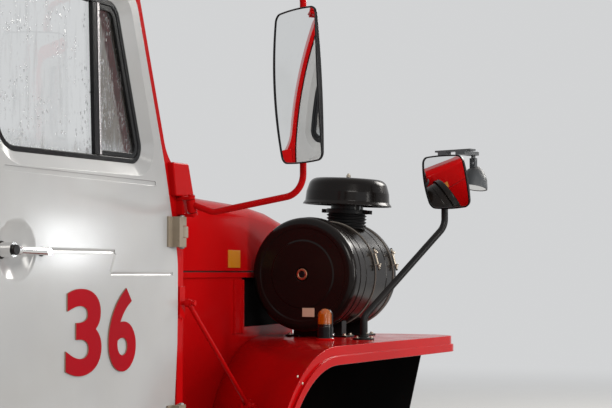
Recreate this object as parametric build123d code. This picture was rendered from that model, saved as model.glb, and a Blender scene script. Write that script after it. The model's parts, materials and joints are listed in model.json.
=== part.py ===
"""Front right-hand corner of a bonneted fire engine, as it comes off the vehicle.

The corner has the cab's door frame and door, the scuttle, one side of the bonnet, the flat wing,
and what stands on them: a drum air cleaner with its rain cap, a marker lamp and two mirrors.
X points forward, Y points to the vehicle's centre line and Z up, in millimetres. The origin is the
middle of the foot that stands on the chassis, under the door pillar.
"""
import os
from math import atan2, cos, degrees, radians, sin, tan

from build123d import *

# Door: its outer skin lies in the plane Y = skin_y
skin_y = -60.0
door_thickness = 60.0
door_front = -60.0
door_rear = -930.0
door_bottom = 100.0
door_top = 1470.0
door_gap = 6.0
belt_z = 1013.0
belt_front = door_front - 73.0
pillar_lean = 0.352
bevel_top = 530.0
bevel_run = 150.0
bevel_angle = 6.0
door_rake = 10.0
crease_z = 959.0
crease_rear = -845.0
crease_front = -179.0

# Door frame
frame_inner_y = 50.0
frame_outer_y = skin_y + 4.0
frame_lap = 22.0
frame_flange_y = skin_y + door_thickness + 4.0
pillar_width = 26.0
post_front = 65.0
post_face_front = -20.0
post_step_y = -5.0
post_corner_r = 8.0
sill_z = 20.0
roof_z = 1560.0
rear_post_x = door_rear - 80.0

# Window
glass_y = -28.0
glass_thickness = 5.0
window_bottom = 1004.0
window_top = 1420.0
window_rear = -852.0
window_front = -205.0
window_lean = 0.337
reveal = 32.0
reveal_depth = 20.0
seal_width = 14.0
seal_slot = 8.0
divider_x = -434.0
divider_width = 20.0
divider_proud = 14.0
divider_depth = 18.0
divider_lean = 0.05
trim_width = 9.0
vent_frame_width = 14.0
fit_gap = 0.3

# Door furniture
dish_x = -795.0
dish_z = 772.0
dish_r = 76.0
dish_depth = 18.0
handle_x = -760.0
swage_width = 14.0
swage_depth = 4.0

# Hinges: one vertical axis, in front of the door's edge
hinge_x = -66.0
hinge_y = -76.0
hinge_r = 12.0
hinge_pin_r = 5.0
pin_clearance = 0.05
hinge_height = 83.0
upper_hinge_z = 832.0
hinge_spacing = 512.0
hinge_leaf = 6.0
hinge_reach = 54.0
hinge_knuckle = 0.3

# Scuttle and bonnet: the bonnet side runs inboard as it goes forward
bonnet_rear = 70.0
bonnet_front = 1480.0
bonnet_side_y = 215.0
bonnet_taper = 0.091
bonnet_skin = 10.0
bonnet_inner_y = 470.0
bonnet_top = 982.0
shoulder_r = 55.0
seam_z = 720.0
side_panel_bottom = 160.0
side_panel_post_x = 940.0
side_panel_post_width = 85.0
scuttle_rear = 25.0

# Wing
wing_outer_y = -300.0
wing_top = 499.0
wing_fall = 0.0093
wing_crest_x = 480.0
wing_crest_r = 450.0
wing_front = 1660.0
wing_corner_r = 145.0
wing_sheet = 12.0
wing_shear = 1.15
wing_slope = 60.0
wing_foot_z = 160.0
lip_depth = 57.0
lip_ledge = 30.0
lip_step = 8.0
lip_wall = 15.0

# Air cleaner: a drum along X
drum_y = 90.0
drum_z = 715.0
drum_r = 190.0
cover_r = 200.0
cover_x = 1061.0
cover_length = 67.0
drum_length = 430.0
band_width = 14.0
band_thick = 3.5
cradle_half = 95.0
stack_x = 1361.0
stack_y = 49.0
stack_r = 60.0
bellows_r = 70.0
bellows_top = 954.0
bellows_foot = 825.0
bellows_ribs = 8
stack_top = bellows_top - 20
cap_r = 163.0
cap_height = 104.0
cap_rim_z = bellows_top + 13
cap_tilt = 3.0

# Marker lamp
lamp_r = 25.0
lamp_x = 895.0
lamp_y = -74.0
lamp_base = 44.0
lamp_height = 106.0
lamp_wall = 4.0

# Mirrors
tube_r = 12.0
arm_tube_r = 9.0
tall_x = -60.0
tall_y = -440.0
tall_width = 186.0
tall_height = 404.0
tall_mid_z = 1208.0
tall_yaw = 29.0
tall_pitch = 3.3
tall_depth = 26.0
tall_reach = 53.0
tall_shift = 33.0
tall_glass_r = 1800.0
head_bow = 8.0
arm_low = Vector(-45.0, -94.0, 905.0)
arm_knee = Vector(-42.0, -160.0, 886.0)
arm_foot_z = 930.0
arm_head_z = 1490.0
arm_bends = [45.0, 60.0, 55.0]
arm_high = Vector(-244.0, -94.0, 1512.0)
arm_eye_r = 13.0
block_y = skin_y - 14
block_low = 930.0
block_high = 1022.0
aux_foot = Vector(1020.0, -160.0, 0.0)
aux_tip = Vector(1325.0, -344.0, 885.0)
aux_knee_z = 568.0
aux_bends = [45.0, 60.0]
aux_width = 186.0
aux_height = 188.0
aux_mid_z = 1045.0
aux_yaw = 15.0
aux_pitch = 14.0
aux_roll = 6.0
aux_depth = 24.0
aux_reach = 64.0
aux_shift = 41.0
aux_drop = 10.0
aux_glass_r = 700.0
lug_half = 4.0
spotter_drop = 16.0
spotter_pin_r = 4.0


def box(x0, x1, y0, y1, z0, z1):
    """A block between two corners."""
    middle = ((x0 + x1) / 2, (y0 + y1) / 2, (z0 + z1) / 2)
    return Pos(*middle) * Box(abs(x1 - x0), abs(y1 - y0), abs(z1 - z0))


def rod(start, end, radius):
    """A round bar between two points."""
    start, end = Vector(start), Vector(end)
    return extrude(Plane(origin=start, z_dir=end - start) * Circle(radius), (end - start).length)


def ring(start, end, outer, inner):
    """A round tube between two points."""
    start, end = Vector(start), Vector(end)
    along = (end - start).normalized()
    return rod(start, end, outer) - rod(start - along, end + along, inner)


def side_plane(y):
    """The plane of the vehicle's side at y: local x is forward and local y is up."""
    return Plane(origin=(0, y, 0), x_dir=(1, 0, 0), z_dir=(0, -1, 0))


def outline(rows):
    """A face from rows of (first, second, corner radius)."""
    points = [(a, b) for a, b, r in rows]
    radii = [r for a, b, r in rows]
    return make_face(FilletPolyline(*points, radius=radii, close=True))


def side_slab(face, y0, y1):
    """A face of the vehicle's side made solid between y0 and y1."""
    return extrude(side_plane(y1) * face, amount=y1 - y0)


def tube(points, radii, radius):
    """A round tube's solid along straight runs joined by bends."""
    path = FilletPolyline(*points, radius=radii)
    return sweep(Plane(origin=path @ 0, z_dir=path % 0) * Circle(radius), path=path)


def save(name, shape):
    """Write one piece."""
    export_step(shape, f"parts/{name}.step")


def door_edge_x(z):
    """The door's front edge above the belt leans back with the windscreen pillar."""
    return belt_front - pillar_lean * (z - belt_z)


def bonnet_y(x):
    """The outer face of the bonnet side at x."""
    return bonnet_side_y + bonnet_taper * (x - bonnet_rear)


def wing_z(x):
    """The top of the wing at x, on its flat part."""
    return wing_top - wing_fall * (x - wing_crest_x)


door_face = outline([
    # x, z, corner radius
    (door_rear, door_bottom, 30),
    (door_front - door_rake, door_bottom, 30),
    (door_front, 600, 300),
    (door_front, 760, 250),
    (belt_front, belt_z, 400),
    (door_edge_x(door_top), door_top, 90),
    (door_rear, door_top, 70),
])
window_face = outline([
    (window_rear, window_bottom - 4, 75),
    (window_front, window_bottom + 4, 45),
    (window_front - window_lean * (window_top - window_bottom), window_top, 55),
    (window_rear, window_top, 60),
])


def door_panel():
    """The door's shell with its window opening, handle dish and pressed line."""
    door = side_slab(door_face, skin_y, skin_y + door_thickness)
    fold = Vector(-bevel_run, 0, -(bevel_top - door_bottom))
    wedge = Plane(origin=(door_front, skin_y, bevel_top), x_dir=fold, z_dir=Vector(0, -1, 0))
    door -= wedge * Rot(-bevel_angle, 0, 0) * box(-bevel_run, bevel_top, 0, bevel_top, 0, door_thickness)
    door -= side_slab(window_face, skin_y - 5, skin_y + door_thickness + 5)
    splay = degrees(atan2(reveal, reveal_depth))
    door -= extrude(side_plane(skin_y) * offset(window_face, reveal), amount=-reveal_depth, taper=splay)
    sphere_r = (dish_r ** 2 + dish_depth ** 2) / (2 * dish_depth)
    door -= Pos(dish_x, skin_y - sphere_r + dish_depth, dish_z) * Sphere(sphere_r)
    line = FilletPolyline(
        (dish_x + dish_r - 12, 774), (-375, 774), (-401, 717), (door_front - 32, 717), radius=[6, 6]
    )
    groove = make_face(Polyline((-swage_width, 0), (swage_width, 0), (0, swage_depth * 2), close=True))
    runs = line.edges().filter_by(GeomType.LINE)
    for run in runs:
        a, b = run @ 0, run @ 1
        start = Vector(a.X, skin_y - swage_depth, a.Y)
        end = Vector(b.X, skin_y - swage_depth, b.Y)
        along = (end - start).normalized()
        frame = Plane(origin=start - along * 4, x_dir=Vector(0, 1, 0).cross(along), z_dir=along)
        door -= extrude(frame * groove, amount=(end - start).length + 8)
    crease = side_slab(outline([
        # x, z, corner radius
        (crease_rear, crease_z - 6, 5),
        (crease_front, crease_z - 6, 5),
        (crease_front, crease_z + 6, 5),
        (crease_rear, crease_z + 6, 5),
    ]), skin_y - 1, skin_y + 2.5)
    return door - crease


def window_parts():
    """The seal, divider, vent frame and panes, seated in the window opening."""
    low, high = glass_y - 12, glass_y + 12
    pane_low, pane_high = glass_y - glass_thickness / 2, glass_y + glass_thickness / 2
    outer = offset(window_face, -fit_gap)
    inner = offset(window_face, -seal_width)
    slot = offset(window_face, -seal_width + seal_slot)
    pane = offset(window_face, -seal_width + seal_slot - fit_gap)
    seal = side_slab(outer, low, high) - side_slab(inner, low - 1, high + 1)
    seal -= side_slab(slot, pane_low - fit_gap, pane_high + fit_gap)

    def divider_at(z, side):
        return divider_x - divider_lean * (z - window_bottom) + side

    def leaning(left, right):
        rows = [(window_bottom - 20, left), (window_bottom - 20, right), (window_top + 20, right), (window_top + 20, left)]
        return make_face(Polyline(*[(divider_at(z, s), z) for z, s in rows], close=True))

    half = divider_width / 2
    bar_low = glass_y - divider_proud
    bar = side_slab(leaning(-half, half), bar_low, bar_low + divider_depth)
    bar &= side_slab(offset(inner, -fit_gap), low - 8, high + 4)
    trim = side_slab(leaning(half + fit_gap, half + trim_width), low - 4, pane_low - 1)
    trim = trim & side_slab(offset(inner, -fit_gap), low - 8, high + 4)
    glass = side_slab(pane, pane_low, pane_high)
    rear_part = side_slab(leaning(-900, -half - fit_gap), low, high)
    front_part = side_slab(leaning(half + fit_gap, 900), low, high)
    edge = half + trim_width + fit_gap
    vent_zone = side_slab(offset(inner, -fit_gap), low + 2, pane_low - fit_gap) & side_slab(leaning(edge, 900), low, high)
    vent_hole = side_slab(offset(inner, -fit_gap - vent_frame_width), low, high)
    vent_hole &= side_slab(leaning(edge + vent_frame_width * 0.6, 900), low - 2, high + 2)
    vent_frame = vent_zone - vent_hole
    main_glass = glass & rear_part
    vent_glass = glass & front_part
    return seal, bar, trim, vent_frame, main_glass, vent_glass


def cab_side_frame():
    """The door frame: post, leaning pillar, roof rail, rear post and sill round the door opening."""
    top_x = door_edge_x(roof_z) + pillar_width
    rows = [
        (rear_post_x, sill_z, 40),
        (post_front, sill_z, 20),
        (post_front, 880, 60),
        (6, 960, 60),
        (door_edge_x(1035) + pillar_width, 1035, 120),
        (top_x, roof_z, 110),
        (rear_post_x, roof_z, 90),
    ]
    frame = side_slab(outline(rows), frame_outer_y, frame_inner_y)
    step = [
        # x, z, corner radius
        (post_face_front, 0, 0),
        (post_face_front, block_low - 25, 0),
        (post_face_front - 30, block_high - 20, 0),
        (post_front + 35, block_high - 20, 0),
        (post_front + 35, 0, 0),
    ]
    frame -= side_slab(outline(step), frame_outer_y - 1, post_step_y)
    edges = frame.edges().filter_by(Axis.Z).filter_by_position(Axis.X, post_face_front - 1, post_face_front + 1)
    frame = fillet(edges.sort_by(Axis.Y)[0], post_corner_r)
    frame -= side_slab(offset(door_face, door_gap), skin_y - 10, frame_flange_y)
    frame -= side_slab(offset(door_face, -frame_lap), frame_flange_y - 1, frame_inner_y + 5)
    return frame


def door_seal():
    """The rubber strip on the frame's flange that the shut door meets."""
    outer = offset(door_face, -3)
    inner = offset(door_face, -frame_lap + 2)
    seal = side_slab(outer, frame_flange_y - 3.5, frame_flange_y)
    return seal - side_slab(inner, frame_flange_y - 5, frame_flange_y + 1)


def hinge_body(mid_z):
    """The post's half of a hinge: a leaf, the middle knuckle and the pin."""
    low, high = mid_z - hinge_height / 2, mid_z + hinge_height / 2
    z0, z1 = low + hinge_height * hinge_knuckle + 1, high - hinge_height * hinge_knuckle - 1
    leaf_rear, leaf_front = door_front + door_gap + 0.5, hinge_x + hinge_r * 2
    body = box(leaf_rear, leaf_front, frame_outer_y - hinge_leaf, frame_outer_y, low, high)
    body += rod((hinge_x, hinge_y, z0), (hinge_x, hinge_y, z1), hinge_r)
    body += box(hinge_x, leaf_front, hinge_y - hinge_r / 2, hinge_y + hinge_r * 0.8, z0, z1)
    body += box(leaf_rear, leaf_front, hinge_y, frame_outer_y, z0, z1)
    return body + rod((hinge_x, hinge_y, low - 3), (hinge_x, hinge_y, high + 3), hinge_pin_r)


def hinge_door(mid_z, door):
    """The door's half of a hinge: a leaf on the skin that wraps the pin above and below."""
    low, high = mid_z - hinge_height / 2, mid_z + hinge_height / 2
    edge = hinge_x - hinge_r - 2
    seat = skin_y + (10 if mid_z < bevel_top else 0)
    part = box(hinge_x - hinge_reach, edge, skin_y - hinge_leaf, seat, low, high)
    part += box(hinge_x - hinge_reach * 0.62, edge, hinge_y - hinge_r, skin_y, low, high)
    for z0, z1 in ((low, low + hinge_height * hinge_knuckle), (high - hinge_height * hinge_knuckle, high)):
        part += rod((hinge_x, hinge_y, z0), (hinge_x, hinge_y, z1), hinge_r)
        part += box(edge - 1, hinge_x, hinge_y - hinge_r, hinge_y + hinge_r * 0.8, z0, z1)
    part -= rod((hinge_x, hinge_y, low - 5), (hinge_x, hinge_y, high + 5), hinge_pin_r + pin_clearance)
    return part - door


def scuttle():
    """The bulkhead between the door post and the bonnet."""
    rows = [
        (frame_inner_y, sill_z + 20, 0),
        (bonnet_inner_y, sill_z + 20, 30),
        (bonnet_inner_y, bonnet_top - 12, 0),
        (bonnet_side_y + 40, bonnet_top - 12, 60),
        (frame_inner_y, 905, 0),
    ]
    face = Plane(origin=(scuttle_rear, 0, 0), x_dir=(0, 1, 0), z_dir=(1, 0, 0)) * outline(rows)
    return extrude(face, amount=post_front - scuttle_rear)


def bonnet_side():
    """The bonnet's right-hand side, shoulder and edge strip."""
    faces = []
    # x, top height
    for x, top in (
        (bonnet_rear, bonnet_top),
        (1100, bonnet_top - 22),
        (1300, bonnet_top - 40),
        (bonnet_front, bonnet_top - 72),
    ):
        y = bonnet_y(x)
        rows = [
            (y, seam_z + 6, 0),
            (y, top, shoulder_r),
            (bonnet_inner_y, top + 6, 0),
            (bonnet_inner_y, top + 6 - bonnet_skin, 0),
            (y + bonnet_skin, top - bonnet_skin, shoulder_r - bonnet_skin),
            (y + bonnet_skin, seam_z + 6, 0),
        ]
        faces.append(Plane(origin=(x, 0, 0), x_dir=(0, 1, 0), z_dir=(1, 0, 0)) * outline(rows))
    return loft(faces, ruled=True)


def along_bonnet(x0, x1, y0, y1, z0, z1):
    """A block that follows the bonnet side from x0 to x1, with y0 and y1 measured inboard from it."""
    turn = degrees(atan2(bonnet_taper, 1))
    length = (x1 - x0) / cos(radians(turn))
    return Pos(x0, bonnet_y(x0), 0) * Rot(0, 0, turn) * box(0, length, y0, y1, z0, z1)


def inner_side_panel():
    """The fixed panel below the bonnet, with the rail that the bonnet shuts on and its front post."""
    end = side_panel_post_x + side_panel_post_width
    panel = along_bonnet(bonnet_rear, end, 6, 6 + bonnet_skin, side_panel_bottom, seam_z - 8)
    panel += along_bonnet(bonnet_rear, bonnet_front, 0, 18, seam_z - 16, seam_z + 2)
    post = along_bonnet(side_panel_post_x, end, -4, 22, wing_top + 10, seam_z - 24)
    post -= along_bonnet(side_panel_post_x + 14, end - 14, -5, 2, wing_top + 9, seam_z - 23)
    panel += post
    front = (side_panel_post_x + 70, bonnet_front + 60)
    panel += along_bonnet(*front, 6, 6 + bonnet_skin, side_panel_bottom, wing_top + 30)
    return panel


def bay_sheet():
    """The dark sheet that shuts off the engine bay behind the drum."""
    start = side_panel_post_x + side_panel_post_width + 0.5
    return along_bonnet(start, bonnet_front, 18.2, 23, wing_top + 4, seam_z - 6)


def bonnet_rubber():
    """The strip on the rail that the bonnet side rests on."""
    return along_bonnet(bonnet_rear, bonnet_front, 2.5, 9, seam_z + 2, seam_z + 6)


def under_wing(depth):
    """The solid under the wing's outer surface, or under the surface that lies depth inside it."""
    run = 420.0
    slope = tan(radians(wing_slope))
    side = depth / sin(radians(wing_slope))
    arc_end_x = wing_crest_x - wing_crest_r * sin(radians(wing_slope))
    arc_end_z = wing_top - wing_crest_r * (1 - cos(radians(wing_slope)))
    foot_x = arc_end_x - (arc_end_z - wing_foot_z) / slope + side
    peak_z = wing_top + wing_fall * 260 - depth
    peak_x = foot_x + (peak_z - wing_foot_z) / slope
    base_z = wing_foot_z - (0 if depth == 0 else 40)
    rows = [
        (foot_x - (wing_foot_z - base_z) / slope, base_z, 0),
        (peak_x, peak_z, wing_crest_r - depth),
        (wing_front + 200, wing_z(wing_front + 200) - depth, 0),
        (wing_front + 200, base_z, 0),
    ]
    face = side_plane(wing_outer_y - 5) * outline(rows)
    reach = Vector(wing_shear, 1, -wing_fall * wing_shear)
    return extrude(face, amount=(run - wing_outer_y) * reach.length, dir=reach.normalized())


def wing_plan(inset, y_far=600.0):
    """A tall prism of the wing's plan, drawn in from its outer and front edges by inset."""
    rows = [
        (-400, wing_outer_y + inset, 0),
        (wing_front - inset, wing_outer_y + inset, wing_corner_r - inset),
        (wing_front - inset, y_far, 0),
        (-400, y_far, 0),
    ]
    return extrude(outline(rows), amount=800)


def bonnet_half_space(clear):
    """All that lies inboard of the bonnet's side plane, from clear outside it."""
    turn = degrees(atan2(bonnet_taper, 1))
    reach, depth = wing_front * 1.5, bonnet_inner_y * 2
    return Pos(bonnet_rear, bonnet_side_y - clear, 0) * Rot(0, 0, turn) * box(-reach, reach, 0, depth, -reach, reach)


def wing():
    """The flat-topped wing: sheet, rear slope and a two-step lip round its outer and front edges."""
    shell = (under_wing(0) & wing_plan(0)) - (under_wing(wing_sheet) & wing_plan(lip_wall))
    shell -= under_wing(lip_depth)
    rim = (under_wing(-5) - under_wing(lip_ledge)) - wing_plan(lip_step)
    shell -= rim
    return shell - bonnet_half_space(-5.5)


def wing_liner():
    """The dark sheet under the wing, with the cross panel that closes the arch in front."""
    sheet = (under_wing(wing_sheet + 0.5) - under_wing(wing_sheet + 6)) & wing_plan(lip_wall + 1)
    sheet &= box(-400, 1500, -400, 600, 0, 600)
    rows = [(-190, 440, 0), (-135, 200, 0), (330, 200, 0), (330, 440, 0)]
    face = Plane(origin=(1500, 0, 0), x_dir=(0, 1, 0), z_dir=(1, 0, 0)) * outline(rows)
    cross = extrude(face, amount=8) & under_wing(wing_sheet + 0.5)
    rows_up = [(-200, 430, 0), (330, 430, 0), (330, 500, 0), (-200, 500, 0)]
    face_up = Plane(origin=(1492, 0, 0), x_dir=(0, 1, 0), z_dir=(1, 0, 0)) * outline(rows_up)
    cross += extrude(face_up, amount=16) & under_wing(wing_sheet + 0.5)
    return (sheet + cross) - bonnet_half_space(-5.0)


def drum_at(x, radius=0.0, angle=0.0):
    """A point at x, radius out from the drum's axis; angle 0 is outboard and 90 is up."""
    return (x, drum_y - radius * cos(radians(angle)), drum_z + radius * sin(radians(angle)))


drum_end = cover_x + drum_length


def air_cleaner_body():
    """The drum behind its cover, with the boss that its stack stands on and its outlet in front."""
    start = cover_x + cover_length
    body = rod(drum_at(start + 9), drum_at(drum_end), drum_r)
    body = fillet(body.edges().filter_by(GeomType.CIRCLE).sort_by(Axis.X)[-1:], 22)
    body += rod(drum_at(start + fit_gap), drum_at(start + 12), drum_r - 8)
    for x in (start + 60, start + 250):
        body -= ring(drum_at(x), drum_at(x + 5), drum_r + 2, drum_r - 2)
    stack = ring((stack_x, stack_y, drum_z + 100), (stack_x, stack_y, stack_top), stack_r, stack_r - 5)
    body += tilt_cap(stack)
    body += rod(drum_at(drum_end - 5), drum_at(drum_end + 40), 62)
    return body


def air_cleaner_cover():
    """The drum's rear cover, rounded at its edge."""
    cover = rod(drum_at(cover_x), drum_at(cover_x + cover_length), cover_r)
    circles = cover.edges().filter_by(GeomType.CIRCLE).sort_by(Axis.X)
    cover = fillet(circles[:1], 25)
    cover = fillet(cover.edges().filter_by(GeomType.CIRCLE).sort_by(Axis.X)[-1:], 5)
    cover -= rod(drum_at(cover_x - 1), drum_at(cover_x + 4), 26)
    return cover


def cleaner_fasteners():
    """The cover's centre ring and nut, and the nut on the rain cap."""
    part = ring(drum_at(cover_x - 3), drum_at(cover_x + 4 - fit_gap), 20, 11)
    part += rod(drum_at(cover_x - 1), drum_at(cover_x + 4 - fit_gap), 11.5)
    base = Vector(stack_x, stack_y, cap_rim_z + cap_height + fit_gap)
    nut = extrude(Plane(origin=base) * RegularPolygon(9, 6), amount=8)
    nut += rod(base + Vector(0, 0, 6), base + Vector(0, 0, 14), 5)
    return Compound([part, tilt_cap(nut)])


def tilt_cap(shape):
    """The stack, with all that stands on it, leans outboard."""
    pivot = (stack_x, stack_y, stack_top)
    return Pos(*pivot) * Rot(cap_tilt, 0, 0) * Pos(*[-v for v in pivot]) * shape


def cleaner_clamps():
    """Two band clamps with their lugs and bolts."""
    bands = []
    for x in (cover_x + 212, cover_x + 382):
        band = ring(drum_at(x), drum_at(x + band_width), drum_r + band_thick + fit_gap, drum_r + fit_gap)
        for angle in (10, 22):
            foot = drum_at(x, drum_r + 11, angle)
            lug = Pos(x + band_width / 2, foot[1], foot[2]) * Rot(-angle, 0, 0) * Box(band_width, 20, 4)
            band += lug
        low, high = drum_at(x + band_width / 2, drum_r + 14, 4), drum_at(x + band_width / 2, drum_r + 14, 28)
        band += rod(low, high, 4)
        bands.append(band)
    return Compound(bands)


def cleaner_cradle():
    """Two saddles between the wing and the drum."""
    saddles = []
    for x in (cover_x + 130, cover_x + 330):
        top = drum_z - drum_r * 0.8
        floor = wing_z(x - 15) + 0.05
        saddle = box(x, x + 40, drum_y - cradle_half, drum_y + cradle_half, floor, top)
        saddle -= rod(drum_at(x - 5), drum_at(x + 45), drum_r + fit_gap)
        for side in (-1, 1):
            foot = drum_y + side * cradle_half
            saddle += box(x - 15, x + 55, foot - 25, foot + 25, floor, floor + 6)
        saddles.append(saddle)
    return Compound(saddles)


def intake_stack():
    """The ribbed rubber sleeve that joins the drum's stack to the cap's pipe."""
    foot = bellows_foot
    pitch = (bellows_top - foot - 9) / bellows_ribs
    rows = [(stack_r + fit_gap, foot, 0), (bellows_r, foot, 0)]
    for i in range(bellows_ribs):
        z = foot + i * pitch
        rows += [(bellows_r + 4, z + 4, 0), (bellows_r + 4, z + 9, 0), (bellows_r, z + pitch - 2, 0)]
    rows += [(bellows_r, bellows_top, 0), (stack_r + fit_gap, bellows_top, 0)]
    face = Plane(origin=(stack_x, stack_y, 0), x_dir=(1, 0, 0), z_dir=(0, -1, 0)) * outline(rows)
    sleeve = tilt_cap(revolve(face, axis=Axis((stack_x, stack_y, 0), (0, 0, 1))))
    return sleeve - rod(drum_at(cover_x), drum_at(drum_end + 20), drum_r + fit_gap)


def neck_clamp():
    """The band clamp below the cap, with a lug each side."""
    z = bellows_top - 16
    axis_low, axis_high = Vector(stack_x, stack_y, z), Vector(stack_x, stack_y, z + 14)
    band = ring(axis_low, axis_high, bellows_r + 7, bellows_r + 4 + fit_gap)
    for side in (-1, 1):
        y0, y1 = stack_y + side * (bellows_r + 6), stack_y + side * (bellows_r + 26)
        for x in (-12, 6):
            band += box(stack_x + x, stack_x + x + 5, y0, y1, z, z + 14)
        bolt_y = stack_y + side * (bellows_r + 17)
        band += rod((stack_x - 20, bolt_y, z + 7), (stack_x + 20, bolt_y, z + 7), 3.5)
    return tilt_cap(band)


def rain_cap():
    """The mushroom cap, hollow below, on its pipe with four fins."""
    rows = [
        # radius, height over the rim, corner radius
        (0, cap_height, 0),
        (cap_r - 26, cap_height - 7, 34),
        (cap_r - 11, 48, 20),
        (cap_r - 8, 14, 6),
        (cap_r, 0, 0),
        (cap_r - 5, 0, 0),
        (cap_r - 13, 15, 5),
        (cap_r - 16, 46, 20),
        (cap_r - 30, cap_height - 12, 30),
        (0, cap_height - 5, 0),
    ]
    face = Plane(origin=(stack_x, stack_y, cap_rim_z), x_dir=(1, 0, 0), z_dir=(0, -1, 0)) * outline(rows)
    cap = revolve(face, axis=Axis((stack_x, stack_y, 0), (0, 0, 1)))
    cap += ring((stack_x, stack_y, stack_top + fit_gap), (stack_x, stack_y, cap_rim_z + 60), stack_r, stack_r - 4)
    for i in range(4):
        fin = box(stack_r - 2, cap_r - 13, -2, 2, cap_rim_z + 20, cap_rim_z + 50)
        cap += Pos(stack_x, stack_y, 0) * Rot(0, 0, 45 + 90 * i) * fin
    return tilt_cap(cap)


def cleaner_plate():
    """The bare plate on the cover."""
    return box(cover_x - 1.5, cover_x - 0.05, drum_y - 48, drum_y - 2, drum_z - 148, drum_z - 117)


def outlet_hose():
    """The elbow from the drum's front into the engine bay."""
    start = drum_at(drum_end + 40.5)
    points = [start, (drum_end + 130, drum_y, drum_z), (drum_end + 130, bonnet_inner_y - 10, drum_z - 90)]
    return tube(points, [80], 62)


def marker_lamp():
    """The marker lamp on the wing: an upright body, with a domed lens to the rear and one to the front."""
    floor = wing_z(lamp_x - lamp_r) + fit_gap
    shoulder, eye = floor + lamp_base, floor + lamp_height - lamp_r

    def dome(low, radius):
        return rod((lamp_x, lamp_y, low), (lamp_x, lamp_y, eye), radius) + Pos(lamp_x, lamp_y, eye) * Sphere(radius)

    def slice_of(x0, x1):
        return box(lamp_x + x0, lamp_x + x1, lamp_y - lamp_r * 2, lamp_y + lamp_r * 2, floor, floor + lamp_height * 2)

    body = rod((lamp_x, lamp_y, floor), (lamp_x, lamp_y, floor + 7), lamp_r + 6)
    body += rod((lamp_x, lamp_y, floor + 6), (lamp_x, lamp_y, shoulder), lamp_r + 1)
    body += dome(shoulder - 1, lamp_r + 1) & slice_of(-lamp_wall, lamp_wall)
    lens = dome(shoulder + 0.05, lamp_r)
    amber = lens & slice_of(-lamp_r * 2, -lamp_wall - 0.05)
    clear = lens & slice_of(lamp_wall + 0.05, lamp_r * 2)
    return body, amber, clear


arm_axis = (arm_high - arm_low).normalized()


def arm_frame(at, along=0.0):
    """A plane at one of the arm's pivots, with its normal along the pivot line."""
    return Plane(origin=at + arm_axis * along, x_dir=(0, -1, 0), z_dir=arm_axis)


def pivot_disc(at, low, high, radius):
    """A disc on the arm's pivot line, between two heights over the point at."""
    return extrude(arm_frame(at, low) * Circle(radius), amount=high - low)


def pivot_lug(at, low, high, radius, reach):
    """A rounded lug on the pivot line that runs back to the cab."""
    lug = pivot_disc(at, low, high, radius)
    strip = Plane(origin=at + arm_axis * low, x_dir=(0, -1, 0), z_dir=arm_axis) * Pos(-reach / 2, 0) * Rectangle(reach, radius * 2)
    return lug + extrude(strip, amount=high - low)


def lower_mirror_bracket():
    """The leaning block on the post, with the lugs and the pin that the mirror arm turns on."""
    rows = [
        # x, z, corner radius
        (-94, block_low, 6),
        (6, block_low, 6),
        (-26, block_high, 6),
        (-112, block_high, 6),
    ]
    block = side_slab(outline(rows), block_y, frame_outer_y)
    block = fillet(block.faces().sort_by(Axis.Y)[0].edges(), 4)
    strip_low = upper_hinge_z + hinge_height / 2 + 7
    part = block + box(-62, -34, block_y, frame_outer_y, strip_low, block_low + 2)
    for low, high in ((20, 28), (-28, -20)):
        part += pivot_lug(arm_low, low, high, arm_eye_r, arm_low.Y * -1 + frame_outer_y)
    part += pivot_disc(arm_low, -32, 32, hinge_pin_r)
    return part - box(-door_gap - 200, post_front, frame_outer_y, frame_inner_y, sill_z, block_high)


def upper_mirror_bracket():
    """The bracket at the head of the pillar."""
    base = box(arm_high.X - 36, arm_high.X + 14, skin_y - 12, frame_outer_y, door_top + 10, roof_z - 10)
    part = base
    for low, high in ((20, 28), (-28, -20)):
        part += pivot_lug(arm_high, low, high, arm_eye_r, arm_high.Y * -1 + frame_outer_y)
    part += pivot_disc(arm_high, -32, 32, hinge_pin_r)
    return part - box(door_rear, post_front, frame_outer_y, frame_inner_y, sill_z, roof_z + 50)


def tall_mirror_arm():
    """The bent tube that carries the tall mirror, with an eye at each end."""
    points = [
        arm_low + Vector(0, 1 - arm_eye_r, 0),
        arm_knee,
        (tall_x, tall_y, arm_foot_z),
        (tall_x, tall_y, arm_head_z),
        arm_high + Vector(6, 1 - arm_eye_r, 0),
    ]
    arm = tube(points, arm_bends, arm_tube_r)
    for at in (arm_low, arm_high):
        arm += pivot_disc(at, -18, 18, arm_eye_r)
    for at in (arm_low, arm_high):
        arm -= pivot_disc(at, -40, 40, hinge_pin_r + pin_clearance)
    return arm


def head_frame(x, y, mid_z, yaw, pitch=0.0, roll=0.0):
    """The plane of a mirror's glass: local x is outboard, local y is up, the normal faces the driver."""
    facing = Vector(-cos(radians(yaw)) * cos(radians(pitch)), sin(radians(yaw)) * cos(radians(pitch)), -sin(radians(pitch)))
    outboard = Vector(-sin(radians(yaw)), -cos(radians(yaw)), 0)
    return Plane(origin=(x, y, mid_z), x_dir=outboard, z_dir=facing).rotated((0, 0, -roll))


def bowed(width, height, radius):
    """A rounded rectangle with bowed sides, about the local origin."""
    x, y = width / 2, height / 2
    corners = [(-x, -y), (x, -y), (x, y), (-x, y)]
    middles = [(0, -y - head_bow / 2), (x + head_bow, 0), (0, y + head_bow / 2), (-x - head_bow, 0)]
    arcs = [ThreePointArc(corners[i], middles[i], corners[(i + 1) % 4]) for i in range(4)]
    face = make_face(arcs)
    return fillet(face.vertices(), radius)


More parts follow.
